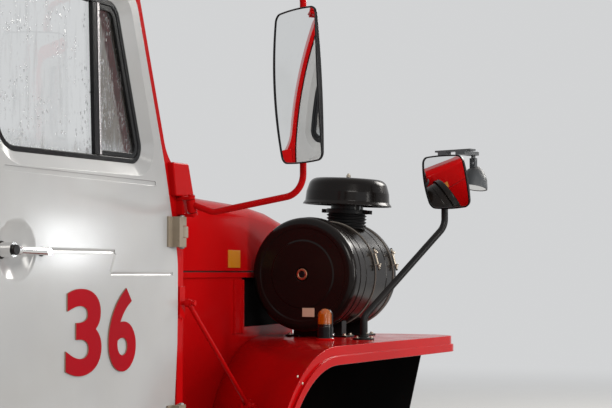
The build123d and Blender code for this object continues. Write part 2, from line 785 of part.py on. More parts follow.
def mirror_head(frame, width, height, radius, depth, rim, glass_r):
    """A mirror's shell and its convex pane: the shell has a flat back and a domed rim."""
    def dome(inset):
        return Pos(*(frame.origin - frame.z_dir * glass_r)) * Sphere(glass_r - inset)

    back = frame.offset(-depth)
    shell = loft([frame.offset(1) * bowed(width, height, radius), back.offset(6) * bowed(width - 8, height - 8, radius - 3)])
    shell += loft([back.offset(6) * bowed(width - 8, height - 8, radius - 3), back * bowed(width - 40, height - 40, radius - 8)])
    mouth = bowed(width - rim * 2, height - rim * 2, radius - rim + 1)
    pane = bowed(width - rim * 2 - fit_gap * 2, height - rim * 2 - fit_gap * 2, radius - rim + 1)
    pocket = extrude(frame.offset(-depth) * mouth, amount=depth * 2) - dome(7)
    glass = (extrude(frame.offset(-depth) * pane, amount=depth * 2) & dome(3)) - dome(7 - 0.05)
    return (shell & dome(0)) - pocket, glass


def stem_to(head, depth, start, along, size, reach):
    """The block from a clamp to a mirror's back, cut off along the back."""
    stem = extrude(Plane(origin=start, z_dir=along) * Rectangle(*size), amount=reach)
    return stem - extrude(head.offset(-depth - 0.05) * Rectangle(reach * 9, reach * 9), amount=reach * 2)


def tall_mirror():
    """The tall mirror's head and the two clamps that hold it on its tube."""
    facing = Vector(-cos(radians(tall_yaw)), sin(radians(tall_yaw)), 0)
    outboard = Vector(-facing.Y, facing.X, 0)
    middle = Vector(tall_x, tall_y, 0) + facing * tall_reach + outboard * tall_shift
    frame = head_frame(middle.X, middle.Y, tall_mid_z, tall_yaw, tall_pitch)
    shell, glass = mirror_head(frame, tall_width, tall_height, 26, tall_depth, 7, tall_glass_r)
    clamps = []
    for z in (tall_mid_z - 110, tall_mid_z + 110):
        clamp = ring((tall_x, tall_y, z - 14), (tall_x, tall_y, z + 14), arm_tube_r + 7, arm_tube_r + 0.06)
        start = Vector(tall_x, tall_y, z) + facing * (arm_tube_r + 3)
        clamp += stem_to(frame, tall_depth, start, facing, (30, 26), tall_reach)
        clamps.append(clamp)
    return shell, glass, Compound(clamps)


def aux_arm():
    """The black tube from the wing to the small mirror."""
    foot = aux_foot + Vector(0, 0, wing_z(aux_foot.X - 36) + 0.05)
    points = [
        foot + Vector(0, 0, 2),
        (aux_foot.X, aux_foot.Y, aux_knee_z),
        aux_tip,
        (aux_tip.X, aux_tip.Y, aux_mid_z + 70),
    ]
    arm = tube(points, aux_bends, tube_r)
    arm += rod(foot, foot + Vector(0, 0, 6), 36)
    arm += rod(foot + Vector(0, 0, 4), foot + Vector(0, 0, 16), 18)
    return arm


def aux_mirror():
    """The small mirror's head, its clamp with the grey plates, and the spotter below them."""
    facing = Vector(-cos(radians(aux_yaw)), sin(radians(aux_yaw)), 0)
    outboard = Vector(-facing.Y, facing.X, 0)
    middle = aux_tip + facing * aux_reach + outboard * aux_shift
    frame = head_frame(middle.X, middle.Y, aux_mid_z - aux_drop, aux_yaw, aux_pitch, aux_roll)
    shell, glass = mirror_head(frame, aux_width, aux_height, 30, aux_depth, 7, aux_glass_r)
    clamp = ring((aux_tip.X, aux_tip.Y, aux_mid_z - 16), (aux_tip.X, aux_tip.Y, aux_mid_z + 16), tube_r + 7, tube_r + 0.06)
    start = Vector(aux_tip.X, aux_tip.Y, aux_mid_z) + facing * (tube_r + 3)
    clamp += stem_to(frame, aux_depth, start, facing, (34, 30), aux_reach)
    top = aux_mid_z + aux_height / 2
    hoop = Plane(origin=(aux_tip.X, aux_tip.Y, 0), x_dir=outboard, z_dir=(0, 0, 1))
    plate = extrude(hoop * Pos(46, 0, top + 8) * Rectangle(150, 34), amount=6)
    plate += extrude(hoop * Pos(0, 0, aux_mid_z + 60) * Rectangle(34, 34), amount=top - aux_mid_z - 46)
    plate += extrude(hoop * Pos(78, 28, top - 4) * Rectangle(40, 90), amount=13)
    plate -= rod((aux_tip.X, aux_tip.Y, aux_mid_z), (aux_tip.X, aux_tip.Y, aux_mid_z + 71), tube_r + 0.06)
    hanger = Plane(origin=hoop.from_local_coords(Vector(80, 64, top - 4)), x_dir=outboard, z_dir=(0, 0, 1))
    plate += hanger * box(-lug_half, lug_half, -8, 8, -spotter_drop - 6, 1)
    plate += hanger * rod((-11, 0, -spotter_drop), (11, 0, -spotter_drop), spotter_pin_r)
    return shell, glass, clamp, plate, hanger


def spotter(hanger):
    """The small round mirror that hangs from a pin under the plate and looks down."""
    facing = Vector(-0.2, 0.1, -1).normalized()
    rim = Plane(origin=hanger.origin - Vector(0, 0, 108), x_dir=hanger.x_dir, z_dir=facing)
    # distance behind the rim, radius
    stations = ((0, 50), (30, 44), (56, 30), (70, 12))
    rings = [rim.offset(-depth) * Circle(radius) for depth, radius in stations]
    shell = extrude(rings[0], amount=6, dir=facing) + loft(rings, ruled=True)
    shell -= extrude(rim.offset(2) * Circle(45), amount=10)
    fork = box(-11, 11, -8, 8, -44, -spotter_drop + 7) - box(-lug_half - 1.5, lug_half + 1.5, -9, 9, -30, 0)
    fork -= rod((-12, 0, -spotter_drop), (12, 0, -spotter_drop), spotter_pin_r + pin_clearance)
    shell += hanger * fork
    glass = extrude(rim.offset(2.05) * Circle(44.7), amount=3)
    return shell, glass


stay_top = Vector(-37, -80, 637)
stay_foot = Vector(322, -80, 326)
stay_r = 6.5
stay_eye_r = 11.0
stay_eye_half = 7.0
stay_bolt_r = 5.0


def across_stay(at, y0, y1, radius):
    """A round piece across the stay at one of its eyes, between two offsets in Y."""
    return rod(at + Vector(0, y0, 0), at + Vector(0, y1, 0), radius)


def wing_stay():
    """The stay from the door post to the wing, with a flat eye at each end."""
    stay = rod(stay_top, stay_foot, stay_r)
    for at in (stay_top, stay_foot):
        stay += across_stay(at, -stay_eye_half, stay_eye_half, stay_eye_r)
    for at in (stay_top, stay_foot):
        stay -= across_stay(at, -stay_eye_half - 1, stay_eye_half + 1, stay_bolt_r + pin_clearance)
    return stay


def stay_brackets():
    """The plates that the stay's eyes are bolted to: one on the post, one standing on the wing."""
    upper = box(stay_top.X - 14, stay_top.X + 15, frame_outer_y - 5, frame_outer_y, 596, 682)
    y0 = stay_foot.Y + stay_eye_half + fit_gap
    lower = box(stay_foot.X - 18, stay_foot.X + 34, y0, y0 + 6, 240, stay_foot.Z + 16) - under_wing(0)
    plates = []
    for plate, at in ((upper, stay_top), (lower, stay_foot)):
        plate += across_stay(at, plate.bounding_box().min.Y - at.Y + 1, -stay_eye_half - 6, stay_bolt_r)
        plate += across_stay(at, -stay_eye_half - 4, -stay_eye_half - fit_gap, stay_bolt_r + 4)
        plates.append(plate)
    return Compound(plates)


def door_handle():
    """The pull handle over the dish, with its button at the rear end."""
    y = skin_y - 24
    bar = rod((handle_x - 70, y, dish_z), (handle_x + 62, y + 8, dish_z - 2), 9)
    bar += rod((handle_x + 60, skin_y + 0.0, dish_z - 2), (handle_x + 60, y - 2, dish_z - 2), 8)
    bar += rod((handle_x - 95, skin_y, dish_z), (handle_x - 95, y - 14, dish_z), 17)
    bar += rod((handle_x - 95, y, dish_z), (handle_x - 60, y, dish_z), 13)
    button = rod((handle_x - 95, y - 14.3, dish_z), (handle_x - 95, y - 22, dish_z), 12)
    return bar, button


def side_reflector():
    """The plain yellow reflector on the bonnet side."""
    return along_bonnet(884, 988, -4, 0, 738, 799)


def inner_handles():
    """The lever and the window winder on the door's inner face."""
    face = skin_y + door_thickness
    part = rod((-700, face, 740), (-700, face + 22, 740), 14)
    part += box(-712, -600, face + 12, face + 22, 731, 749)
    winder = rod((-430, face, 640), (-430, face + 26, 640), 16)
    winder += box(-440, -420, face + 16, face + 26, 540, 640)
    winder += rod((-430, face + 20, 545), (-430, face + 60, 545), 9)
    return Compound([part, winder])


def door_striker():
    """The latch plate on the rear post."""
    return box(door_rear - 4.5, door_rear - 0.8, -30, 0, 700, 800)


foot_bolt_x = 70.0
foot_bolt_y = 60.0
foot_hole_r = 7.0


def chassis_foot():
    """The foot under the door post, with four bolt holes."""
    foot = box(-90, 90, -80, 80, 0, 12)
    foot += box(-52, 52, -40, 45, 12, sill_z)
    for x in (-foot_bolt_x, foot_bolt_x):
        for y in (-foot_bolt_y, foot_bolt_y):
            foot -= rod((x, y, -1), (x, y, 13), foot_hole_r)
    return foot


def main():
    """Write every piece."""
    os.makedirs("parts", exist_ok=True)
    door = door_panel()
    save("door_panel", door)
    names = ("window_seal", "window_divider", "divider_trim", "vent_frame", "main_glass", "vent_glass")
    for name, shape in zip(names, window_parts()):
        save(name, shape)
    save("cab_side_frame", cab_side_frame())
    save("door_seal", door_seal())
    for name, z in (("upper", upper_hinge_z), ("lower", upper_hinge_z - hinge_spacing)):
        save(f"{name}_hinge_bracket", hinge_body(z))
        save(f"{name}_hinge_leaf", hinge_door(z, door))
    save("scuttle_panel", scuttle())
    save("bonnet_side", bonnet_side())
    save("inner_side_panel", inner_side_panel())
    save("bay_sheet", bay_sheet())
    save("bonnet_rubber", bonnet_rubber())
    save("wing", wing())
    save("wing_liner", wing_liner())
    save("air_cleaner_body", air_cleaner_body())
    save("air_cleaner_cover", air_cleaner_cover())
    save("cleaner_fasteners", cleaner_fasteners())
    save("cleaner_clamps", cleaner_clamps())
    save("cleaner_cradle", cleaner_cradle())
    save("intake_stack", intake_stack())
    save("neck_clamp", neck_clamp())
    save("rain_cap", rain_cap())
    save("cleaner_plate", cleaner_plate())
    save("outlet_hose", outlet_hose())
    for name, shape in zip(("lamp_body", "lamp_amber_lens", "lamp_clear_lens"), marker_lamp()):
        save(name, shape)
    save("lower_mirror_bracket", lower_mirror_bracket())
    save("upper_mirror_bracket", upper_mirror_bracket())
    save("tall_mirror_arm", tall_mirror_arm())
    for name, shape in zip(("tall_mirror_shell", "tall_mirror_glass", "tall_mirror_clamps"), tall_mirror()):
        save(name, shape)
    save("aux_mirror_arm", aux_arm())
    shell, glass, clamp, plate, hanger = aux_mirror()
    save("aux_mirror_shell", shell)
    save("aux_mirror_glass", glass)
    save("aux_mirror_clamp", clamp)
    save("aux_mirror_plate", plate)
    shell, glass = spotter(hanger)
    save("spotter_shell", shell)
    save("spotter_glass", glass)
    save("wing_stay", wing_stay())
    save("stay_bracket", stay_brackets())
    handle, button = door_handle()
    save("door_handle", handle)
    save("door_button", button)
    save("side_reflector", side_reflector())
    save("inner_handles", inner_handles())
    save("door_striker", door_striker())
    save("chassis_foot", chassis_foot())


main()
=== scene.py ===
"""Looks for the front right-hand corner of a bonneted fire engine.

Lengths are in metres, and in millimetres in the rows of soft(). X points forward, Y to the vehicle's
centre line and Z up.
"""
import json
from math import atan2, cos, degrees, pi, radians, sin, tan

import bpy
from bpy.props import FloatProperty, FloatVectorProperty, IntProperty, PointerProperty
from bpy.types import Operator, Panel, PropertyGroup
from mathutils import Matrix, Vector

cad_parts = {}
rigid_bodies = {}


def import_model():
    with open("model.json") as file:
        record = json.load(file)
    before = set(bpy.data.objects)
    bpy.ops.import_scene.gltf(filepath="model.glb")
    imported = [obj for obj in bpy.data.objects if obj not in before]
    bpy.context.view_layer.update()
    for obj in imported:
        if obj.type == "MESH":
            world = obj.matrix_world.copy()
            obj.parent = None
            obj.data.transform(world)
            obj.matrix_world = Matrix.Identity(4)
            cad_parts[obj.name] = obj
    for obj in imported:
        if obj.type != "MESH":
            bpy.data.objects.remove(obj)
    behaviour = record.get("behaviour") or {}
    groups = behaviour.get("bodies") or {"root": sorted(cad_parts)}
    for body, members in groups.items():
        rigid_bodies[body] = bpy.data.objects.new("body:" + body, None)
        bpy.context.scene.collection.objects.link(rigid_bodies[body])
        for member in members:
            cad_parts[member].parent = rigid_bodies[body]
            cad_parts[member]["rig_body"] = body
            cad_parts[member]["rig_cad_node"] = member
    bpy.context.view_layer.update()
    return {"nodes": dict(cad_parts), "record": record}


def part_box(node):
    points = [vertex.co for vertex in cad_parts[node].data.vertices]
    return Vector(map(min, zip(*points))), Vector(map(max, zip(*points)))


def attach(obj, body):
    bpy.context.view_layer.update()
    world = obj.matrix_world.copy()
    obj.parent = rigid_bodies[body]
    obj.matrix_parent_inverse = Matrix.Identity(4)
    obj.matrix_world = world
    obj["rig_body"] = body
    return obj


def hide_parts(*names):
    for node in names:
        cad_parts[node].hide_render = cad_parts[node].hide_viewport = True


bl_info = {
    "name": "Fire engine corner",
    "version": (1, 0, 0),
    "blender": (4, 5, 0),
    "location": "View3D > Sidebar > Corner",
    "description": "Dresses the front right-hand corner of a bonneted fire engine",
    "category": "Object",
}

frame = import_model()


MM = 0.001
UP = Vector((0, 0, 1))
# The intake stack leans outboard about this point
STACK_FOOT = Vector((1.361, 0.049, 0.934))
STACK_UP = Vector((0, -sin(radians(3)), cos(radians(3))))
DRUM = Vector((0, 0.09, 0.715))
# The hinges' pins (x, y) and the heights of their middles
HINGE_PIN = (-0.066, -0.076, 0.832, 0.32)
BONNET_TAPER = 0.091
TALL_TUBE = (-0.06, -0.44)
AUX_TUBE = (1.325, -0.344)
BAND_RADIUS = 0.204
COVER_REAR = 1.061
BODY_REAR = 1.128
HOSE_START = 1.5315
TALL_YAW, TALL_PITCH = radians(29), radians(3.3)
# The small mirror's arm is turned less than its head
AUX_ARM_YAW, AUX_YAW, AUX_PITCH = radians(15), radians(21), radians(14)
# Vertices of a mesh from the frame are welded within this distance
WELD = 0.00002
# Height of a bolt's seat on the foot of the cradle and of the small mirror
FOOT_PLATE = 0.0061
# Lines of a mirror pane's grid on each side of its middle
GRID_LINES = 27
BACKDROP = (0.98, 0.99, 1.0, 1)
BACKDROP_SEEN = 0.66


def paint_property(name, description, default):
    """A colour that a user may change."""
    return FloatVectorProperty(name=name, description=description, default=default, subtype="COLOR",
                               min=0, max=1)


def length_property(name, description, default):
    """A length in metres that a user may change."""
    return FloatProperty(name=name, description=description, default=default, min=0.0001, unit="LENGTH")


class CornerSizes(PropertyGroup):
    """Sizes of the pieces that the scene adds."""

    edge: length_property("Edge", "Rounding of a pressed panel's edge", 0.003)
    small_edge: length_property("Small edge", "Rounding of a bracket's edge", 0.0012)
    digit_height: length_property("Digit height", "Height of the door's digits", 0.213)
    first_digit_width: length_property("First digit width", "Width of the rear digit", 0.156)
    second_digit_width: length_property("Second digit width", "Width of the front digit", 0.13)
    digit_depth: length_property("Digit depth", "How far a digit stands off the door", 0.004)
    turns: IntProperty(name="Segments", description="Segments round a turned piece", default=128,
                       min=24, max=256)


class CornerColours(PropertyGroup):
    """Colours of the finishes."""

    red: paint_property("Red", "Body paint", (0.47, 0.003, 0.004))
    cream: paint_property("Cream", "Door paint", (0.44, 0.441, 0.443))
    digit: paint_property("Digit", "Paint of the door's digits", (0.37, 0.003, 0.01))
    drum: paint_property("Drum", "Paint of the air cleaner", (0.007, 0.0055, 0.005))
    black: paint_property("Black", "Paint of brackets and frames", (0.006, 0.006, 0.0065))
    amber: paint_property("Amber", "Rear lens of the marker lamp", (0.78, 0.2, 0.008))
    yellow: paint_property("Yellow", "Reflector on the bonnet side", (0.56, 0.2, 0.006))
    plate: paint_property("Plate", "Bare plate on the drum", (0.56, 0.4, 0.29))
    floor: paint_property("Floor", "Studio floor", (0.55, 0.545, 0.535))


def wing_top(x):
    """Height of the wing's top, which falls towards the front."""
    return 0.499 - 0.0093 * (x - 0.48)


def on_drum(x):
    """A place on the drum's axis."""
    return DRUM + Vector((x, 0, 0))


def sizes():
    return bpy.context.scene.corner_sizes


def colours():
    return bpy.context.scene.corner_colours


# Shader groups


def node(tree, kind, **values):
    """A shader node with its settings; a name that is an input sets that input."""
    made = tree.nodes.new("ShaderNode" + kind)
    for key, value in values.items():
        if key in made.inputs:
            made.inputs[key].default_value = value
        else:
            setattr(made, key, value)
    return made


def join(start, end):
    """A link between two sockets."""
    end.id_data.links.new(start, end)


def ramp(source, low, high, start=0.0, end=1.0):
    """A smooth step of a value from start at low to end at high."""
    limits = {"From Min": low, "From Max": high, "To Min": start, "To Max": end}
    made = node(source.id_data, "MapRange", interpolation_type="SMOOTHSTEP", **limits)
    join(source, made.inputs["Value"])
    return made.outputs["Result"]


def maths(operation, first, second):
    """The result for two values; one at least is a socket, and the other may be a number."""
    numbers = [isinstance(value, (int, float)) for value in (first, second)]
    made = node((second if numbers[0] else first).id_data, "Math", operation=operation)
    for end, value, number in zip(made.inputs, (first, second), numbers):
        if number:
            end.default_value = value
        else:
            join(value, end)
    return made.outputs["Value"]


def plus(first, second):
    return maths("ADD", first, second)


def times(first, second):
    return maths("MULTIPLY", first, second)


def clamped(value):
    """The same value, kept between nothing and one."""
    value.node.use_clamp = True
    return value


def stretched(vector, scale):
    """Coordinates scaled along each axis."""
    made = node(vector.id_data, "Mapping", Scale=scale)
    join(vector, made.inputs["Vector"])
    return made.outputs["Vector"]


def noise(vector, scale, detail=3.0, stretch=None):
    """A noise over the object's own coordinates."""
    made = node(vector.id_data, "TexNoise", Scale=scale, Detail=detail)
    join(stretched(vector, stretch) if stretch else vector, made.inputs["Vector"])
    return made.outputs["Fac"]


def height_of(vector):
    """The Z part of a vector."""
    made = node(vector.id_data, "SeparateXYZ")
    join(vector, made.inputs["Vector"])
    return made.outputs["Z"]


def shade_group(name, output, **inputs):
    """A node group with a Vector input, inputs from rows of (default, low, high), and one output."""
    tree = bpy.data.node_groups.new(name, "ShaderNodeTree")
    add = tree.interface.new_socket
    add(name="Vector", in_out="INPUT", socket_type="NodeSocketVector")
    for key, (default, low, high) in inputs.items():
        made = add(name=key, in_out="INPUT", socket_type="NodeSocketFloat")
        made.default_value, made.min_value, made.max_value = default, low, high
    add(name=output, in_out="OUTPUT", socket_type="NodeSocketFloat")
    given, put = tree.nodes.new("NodeGroupInput"), tree.nodes.new("NodeGroupOutput")
    return tree, given.outputs, put.inputs[output]


def grime_group():
    """Patchy dirt: an all-over film, and dust on what faces up."""
    tree, given, put = shade_group("Grime", "Mask", Film=(0.3, 0, 1), Dust=(0.3, 0, 1))
    where = given["Vector"]
    patches = ramp(noise(where, 5.0), 0.42, 0.78)
    specks = ramp(noise(where, 90.0, 4.0), 0.55, 0.8)
    film = times(plus(patches, times(specks, 0.4)), given["Film"])
    up = ramp(height_of(node(tree, "NewGeometry").outputs["Normal"]), 0.35, 0.95)
    settled = times(up, ramp(noise(where, 14.0, 8.0), 0.3, 0.7, 0.25, 1.0))
    join(clamped(plus(film, times(settled, given["Dust"]))), put)
    return tree


def panel_group():
    """The height of a hand-painted panel: slow waves, and orange peel."""
    tree, given, put = shade_group("Panel surface", "Height", Waves=(1.0, 0, 10), Peel=(1.0, 0, 10))
    slow = times(noise(given["Vector"], 3.5, 2.0), given["Waves"])
    fine = times(noise(given["Vector"], 220.0, 1.0), given["Peel"])
    join(plus(slow, times(fine, 0.035)), put)
    return tree


def streak_group():
    """Dried rain on a pane: streaks, drops, runs on the wettest panes and a dirty foot."""
    tree, given, put = shade_group("Dried rain", "Mask", Foot=(1.0, -10, 10), Amount=(1.0, 0, 4))
    where = given["Vector"]
    streaks = ramp(noise(where, 60.0, 5.0, (1, 1, 0.12)), 0.52, 0.74)
    drops = node(tree, "TexVoronoi", Scale=85.0)
    join(stretched(where, (1, 1, 0.55)), drops.inputs["Vector"])
    chosen = times(ramp(drops.outputs["Distance"], 0.34, 0.12), ramp(noise(where, 22.0), 0.45, 0.62))
    foot = ramp(maths("SUBTRACT", height_of(where), given["Foot"]), 0.06, 0.0)
    low = times(foot, noise(where, 40.0, 4.0))
    fine = ramp(noise(where, 150.0, 3.0, (1, 1, 0.22)), 0.52, 0.66)
    runs = times(fine, ramp(noise(where, 30.0, 2.0, (1, 1, 0.2)), 0.4, 0.62))
    more = maths("MAXIMUM", maths("SUBTRACT", given["Amount"], 1.0), 0.0)
    marks = plus(plus(times(streaks, 0.5), chosen), times(runs, more))
    join(clamped(plus(marks, low)), put)
    return tree


def grain_group():
    """A fine moulded grain for plastics and rubber."""
    tree, given, put = shade_group("Moulded grain", "Height", Scale=(400.0, 1, 4000))
    grain = noise(given["Vector"], 1.0)
    join(given["Scale"], grain.node.inputs["Scale"])
    join(grain, put)
    return tree


def placed(name, build, coordinates, **values):
    """The output of a shader group in a material; the group is built when it is first asked for."""
    made = coordinates.id_data.nodes.new("ShaderNodeGroup")
    made.node_tree = bpy.data.node_groups.get(name) or build()
    join(coordinates, made.inputs["Vector"])
    for key, value in values.items():
        made.inputs[key].default_value = value
    return made.outputs[0]


def start_material(colour, **sockets):
    """A material with its shader's plain values; returns the material, its shader and coordinates."""
    made = bpy.data.materials.new("Finish")
    made.use_nodes = True
    shader = made.node_tree.nodes["Principled BSDF"]
    shader.inputs["Base Color"].default_value = (*colour, 1)
    for key, value in sockets.items():
        shader.inputs[key.replace("_", " ")].default_value = value
    return made, shader, node(made.node_tree, "TexCoord").outputs["Object"]


def mix_colour(mask, first, second):
    """A colour that goes from first to second with a mask; each is a socket or a colour."""
    made = node(mask.id_data, "Mix", data_type="RGBA")
    join(mask, made.inputs["Factor"])
    ends = [end for end in made.inputs if end.type == "RGBA"]
    for end, value in zip(ends, (first, second)):
        if isinstance(value, bpy.types.NodeSocket):
            join(value, end)
        else:
            end.default_value = (*value, 1)
    return [end for end in made.outputs if end.type == "RGBA"][0]


def add_bump(shader, height, distance):
    """Relief from a height."""
    made = node(height.id_data, "Bump", Distance=distance)
    join(height, made.inputs["Height"])
    join(made.outputs["Normal"], shader.inputs["Normal"])


def soiled(shader, where, clean, dirt, film, dust, gloss, dulling):
    """Dirt over a clean colour, duller where it lies."""
    mask = placed("Grime", grime_group, where, Film=film, Dust=dust)
    join(mix_colour(mask, clean, dirt), shader.inputs["Base Color"])
    join(plus(times(mask, dulling), gloss), shader.inputs["Roughness"])


def paint(colour, rough=0.25, film=0.25, dust=0.3, waves=1.0, peel=1.0, coat=0.0, dirt=None, **more):
    """Sprayed paint with waves, peel, uneven gloss and dirt."""
    dirt = dirt or [0.55 * value + 0.05 for value in colour]
    made, shader, where = start_material(colour, Coat_Weight=coat, Coat_Roughness=0.1, **more)
    tone = mix_colour(ramp(noise(where, 2.2), 0.3, 0.7), colour, [value * 0.86 for value in colour])
    gloss = ramp(noise(where, 7.0, 2.0), 0.3, 0.75, rough * 0.85, rough * 1.2)
    soiled(shader, where, tone, dirt, film, dust, gloss, 0.3)
    add_bump(shader, placed("Panel surface", panel_group, where, Waves=waves, Peel=peel), 0.0016)
    return made


def moulded(colour, rough=0.5, grain=500.0, depth=0.0002, film=0.2, dirt=(0.1, 0.09, 0.08), **more):
    """Plastic or rubber with a moulded grain and dust."""
    made, shader, where = start_material(colour, **more)
    gloss = ramp(noise(where, 30.0, 4.0), 0.3, 0.7, rough * 0.85, rough * 1.15)
    soiled(shader, where, colour, dirt, film, 0.35, gloss, 0.25)
    add_bump(shader, placed("Moulded grain", grain_group, where, Scale=grain), depth)
    return made


def bare_metal(colour, rough=0.3, film=0.2, dust=0.2, pits=0.00015, dirt=(0.12, 0.09, 0.07)):
    """Bright, plated or worn metal."""
    made, shader, where = start_material(colour, Metallic=1.0)
    lines = noise(where, 180.0, 4.0)
    soiled(shader, where, colour, dirt, film, dust, ramp(lines, 0.3, 0.7, rough * 0.7, rough * 1.4), 0.35)
    add_bump(shader, lines, pits)
    return made


def pane(colour, cad_node, amount, dried):
    """Window glass with dried rain, dirtiest at its foot."""
    made, shader, where = start_material(colour, IOR=1.45, Transmission_Weight=1.0)
    mask = placed("Dried rain", streak_group, where, Foot=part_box(cad_node)[0].z, Amount=amount)
    join(mix_colour(mask, colour, dried), shader.inputs["Base Color"])
    join(ramp(mask, 0.0, 1.0, 0.0, 0.55), shader.inputs["Roughness"])
    add_bump(shader, mask, 0.0002)
    return made


def silvered():
    """Mirror glass with faint smears."""
    bright, rough = (0.86, 0.87, 0.87), 0.015
    made, shader, where = start_material(bright, Metallic=1.0, Coat_Weight=0.3)
    soiled(shader, where, bright, (0.6, 0.6, 0.58), 0.25, 0.0, rough, 0.12)
    return made


def lens(colour, cad_node):
    """A moulded lamp lens with ribs round it, dark at its foot."""
    made, shader, where = start_material(colour, IOR=1.4, Transmission_Weight=0.6, Coat_Weight=0.3)
    ribs = node(made.node_tree, "TexWave", wave_type="BANDS", bands_direction="Z", Scale=60.0)
    join(where, ribs.inputs["Vector"])
    mask = placed("Grime", grime_group, where, Film=0.15, Dust=0.0)
    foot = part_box(cad_node)[0].z
    shade = maths("MAXIMUM", ramp(height_of(where), foot + 0.013, foot + 0.007), times(mask, 0.8))
    join(mix_colour(shade, colour, (0.02, 0.012, 0.008)), shader.inputs["Base Color"])
    join(ramp(mask, 0.0, 1.0, 0.06, 0.4), shader.inputs["Roughness"])
    add_bump(shader, ribs.outputs["Fac"], 0.0004)
    return made


def finish(name):
    """The finish of that name, made when it is first asked for."""
    if name in bpy.data.materials:
        return bpy.data.materials[name]
    c = colours()
    jet = (0.008, 0.008, 0.009)
    # The red paint's reflections are tinted red, a painted reflection of red surroundings, and its IOR is
    # low so the pale studio reflects weakly in it
    reddened_reflection = {"IOR": 1.16, "Specular_Tint": (1, 0.45, 0.42, 1)}
    low, dull = {"IOR": 1.26}, {"IOR": 1.12}
    recipes = {
        "Red paint": lambda: paint(c.red, 0.14, 0.12, 0.22, 1.2, dirt=(0.14, 0.012, 0.009), **reddened_reflection),
        "Cream paint": lambda: paint(c.cream, 0.18, 0.12, 0.1, 0.35, coat=0.25, dirt=(0.36, 0.33, 0.28)),
        "Hinge paint": lambda: paint((0.27, 0.22, 0.16), 0.45, 0.6, 0.3, 0.2, 3.0, dirt=(0.09, 0.055, 0.03)),
        "Digit paint": lambda: paint(c.digit, 0.42, 0.3, 0.1, 0.3, 2.5, dirt=(0.17, 0.012, 0.018), **dull),
        "Digit edge": lambda: paint((0.3, 0.19, 0.13), 0.5, 0.4, 0.2, 0.3, 2, dirt=(0.12, 0.05, 0.03)),
        "Drum paint": lambda: paint(c.drum, 0.17, 0.15, 0.3, 0.5, 1.5, dirt=(0.03, 0.02, 0.015), **low),
        "Black paint": lambda: paint(c.black, 0.36, 0.25, 0.3, 0.2, dirt=(0.035, 0.027, 0.022), **low),
        # A near-black matt paint for sheets that stand in for shade: painted shade
        "Matt black": lambda: paint([0.004] * 3, 0.8, 0.2, 0.2, 0.2, dirt=(0.016, 0.011, 0.009), **dull),
        "Grey paint": lambda: paint((0.085, 0.09, 0.095), 0.4, 0.35, 0.3, 0.3, dirt=(0.05, 0.042, 0.035)),
        "Rubber": lambda: moulded(jet, 0.45, 300.0, dirt=(0.05, 0.043, 0.038), **low),
        "Moulded black": lambda: moulded(jet, 0.2, 900.0, 0.00008, 0.12, dirt=(0.05, 0.045, 0.04), **low),
        "Grey plastic": lambda: moulded((0.045, 0.05, 0.056), 0.5, 700.0),
        "Beige plate": lambda: moulded(c.plate, 0.5, 300.0, 0.00005, dirt=(0.3, 0.19, 0.12)),
        "Yellow reflector": lambda: moulded(c.yellow, 0.34, 700.0, 0.0003, dirt=(0.26, 0.12, 0.01)),
        "Door card": lambda: moulded((0.1, 0.105, 0.11), 0.6, 260.0, 0.0004),
        "Chrome": lambda: bare_metal((0.82, 0.82, 0.82), 0.08, film=0.1, dust=0.1, pits=0.00003),
        "Bright trim": lambda: bare_metal((0.56, 0.53, 0.53), 0.18, film=0.1, dust=0.0, pits=0.00001),
        "Steel": lambda: bare_metal((0.34, 0.34, 0.335), 0.42, film=0.4),
        "Zinc": lambda: bare_metal((0.5, 0.44, 0.36), 0.4, film=0.4, dirt=(0.16, 0.09, 0.05)),
        # A pale finish for the bands' side faces: a painted highlight
        "Painted edge highlight": lambda: moulded((0.26, 0.23, 0.2), 0.45, 400.0, dirt=(0.1, 0.07, 0.05)),
        "Copper": lambda: bare_metal((0.42, 0.2, 0.12), 0.4, film=0.4, dirt=(0.1, 0.045, 0.03)),
        "Silvered glass": silvered,
        "Main pane": lambda: pane((0.97, 0.98, 0.98), "main_glass", 1.0, (0.6, 0.62, 0.62)),
        # The vent pane is tinted dark brown: painted shade for the dark view through it
        "Vent pane": lambda: pane((0.25, 0.225, 0.2), "vent_glass", 2.0, (0.74, 0.8, 0.84)),
        "Amber lens": lambda: lens(c.amber, "lamp_amber_lens"),
        "Clear lens": lambda: lens((0.8, 0.8, 0.78), "lamp_clear_lens"),
    }
    made = recipes[name]()
    made.name = name
    return made


# Modelling helpers


def deselect():
    """Leave edit mode if it is on, and select nothing."""
    if bpy.context.object and bpy.context.object.mode != "OBJECT":
        leave()
    bpy.ops.object.select_all(action="DESELECT")


def only(piece):
    """Select one object and make it active."""
    deselect()
    piece.select_set(True)
    bpy.context.view_layer.objects.active = piece
    return piece


def everything():
    """Select the whole mesh in edit mode."""
    bpy.ops.mesh.select_all(action="SELECT")


def edit():
    """Go into edit mode with the whole mesh selected."""
    bpy.ops.object.mode_set(mode="EDIT")
    everything()


def leave():
    """Go back to object mode."""
    bpy.ops.object.mode_set(mode="OBJECT")


def modify(piece, kind, **values):
    """Add a modifier and apply it."""
    only(piece)
    bpy.ops.object.modifier_add(type=kind)
    made = piece.modifiers[-1]
    for key, value in values.items():
        setattr(made, key, value)
    bpy.ops.object.modifier_apply(modifier=made.name)


def round_edges(piece, width, segments=3, angle=30.0):
    modify(piece, "BEVEL", width=width, segments=segments, limit_method="ANGLE", angle_limit=radians(angle),
           miter_outer="MITER_ARC")


def settle(piece, name, body, material, nodes=(), smooth=35.0, flat=True):
    """Name a finished piece, put its place into its mesh and hand it to the frame."""
    only(piece)
    bpy.ops.object.transform_apply()
    bpy.ops.object.shade_smooth_by_angle(angle=radians(smooth))
    if flat:
        modify(piece, "WEIGHTED_NORMAL", keep_sharp=True, weight=80)
    piece.name = piece.data.name = name
    piece.data.materials.clear()
    for one in material if isinstance(material, (list, tuple)) else [material]:
        piece.data.materials.append(finish(one))
    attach(piece, body)
    if nodes:
        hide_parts(*nodes)
    return piece


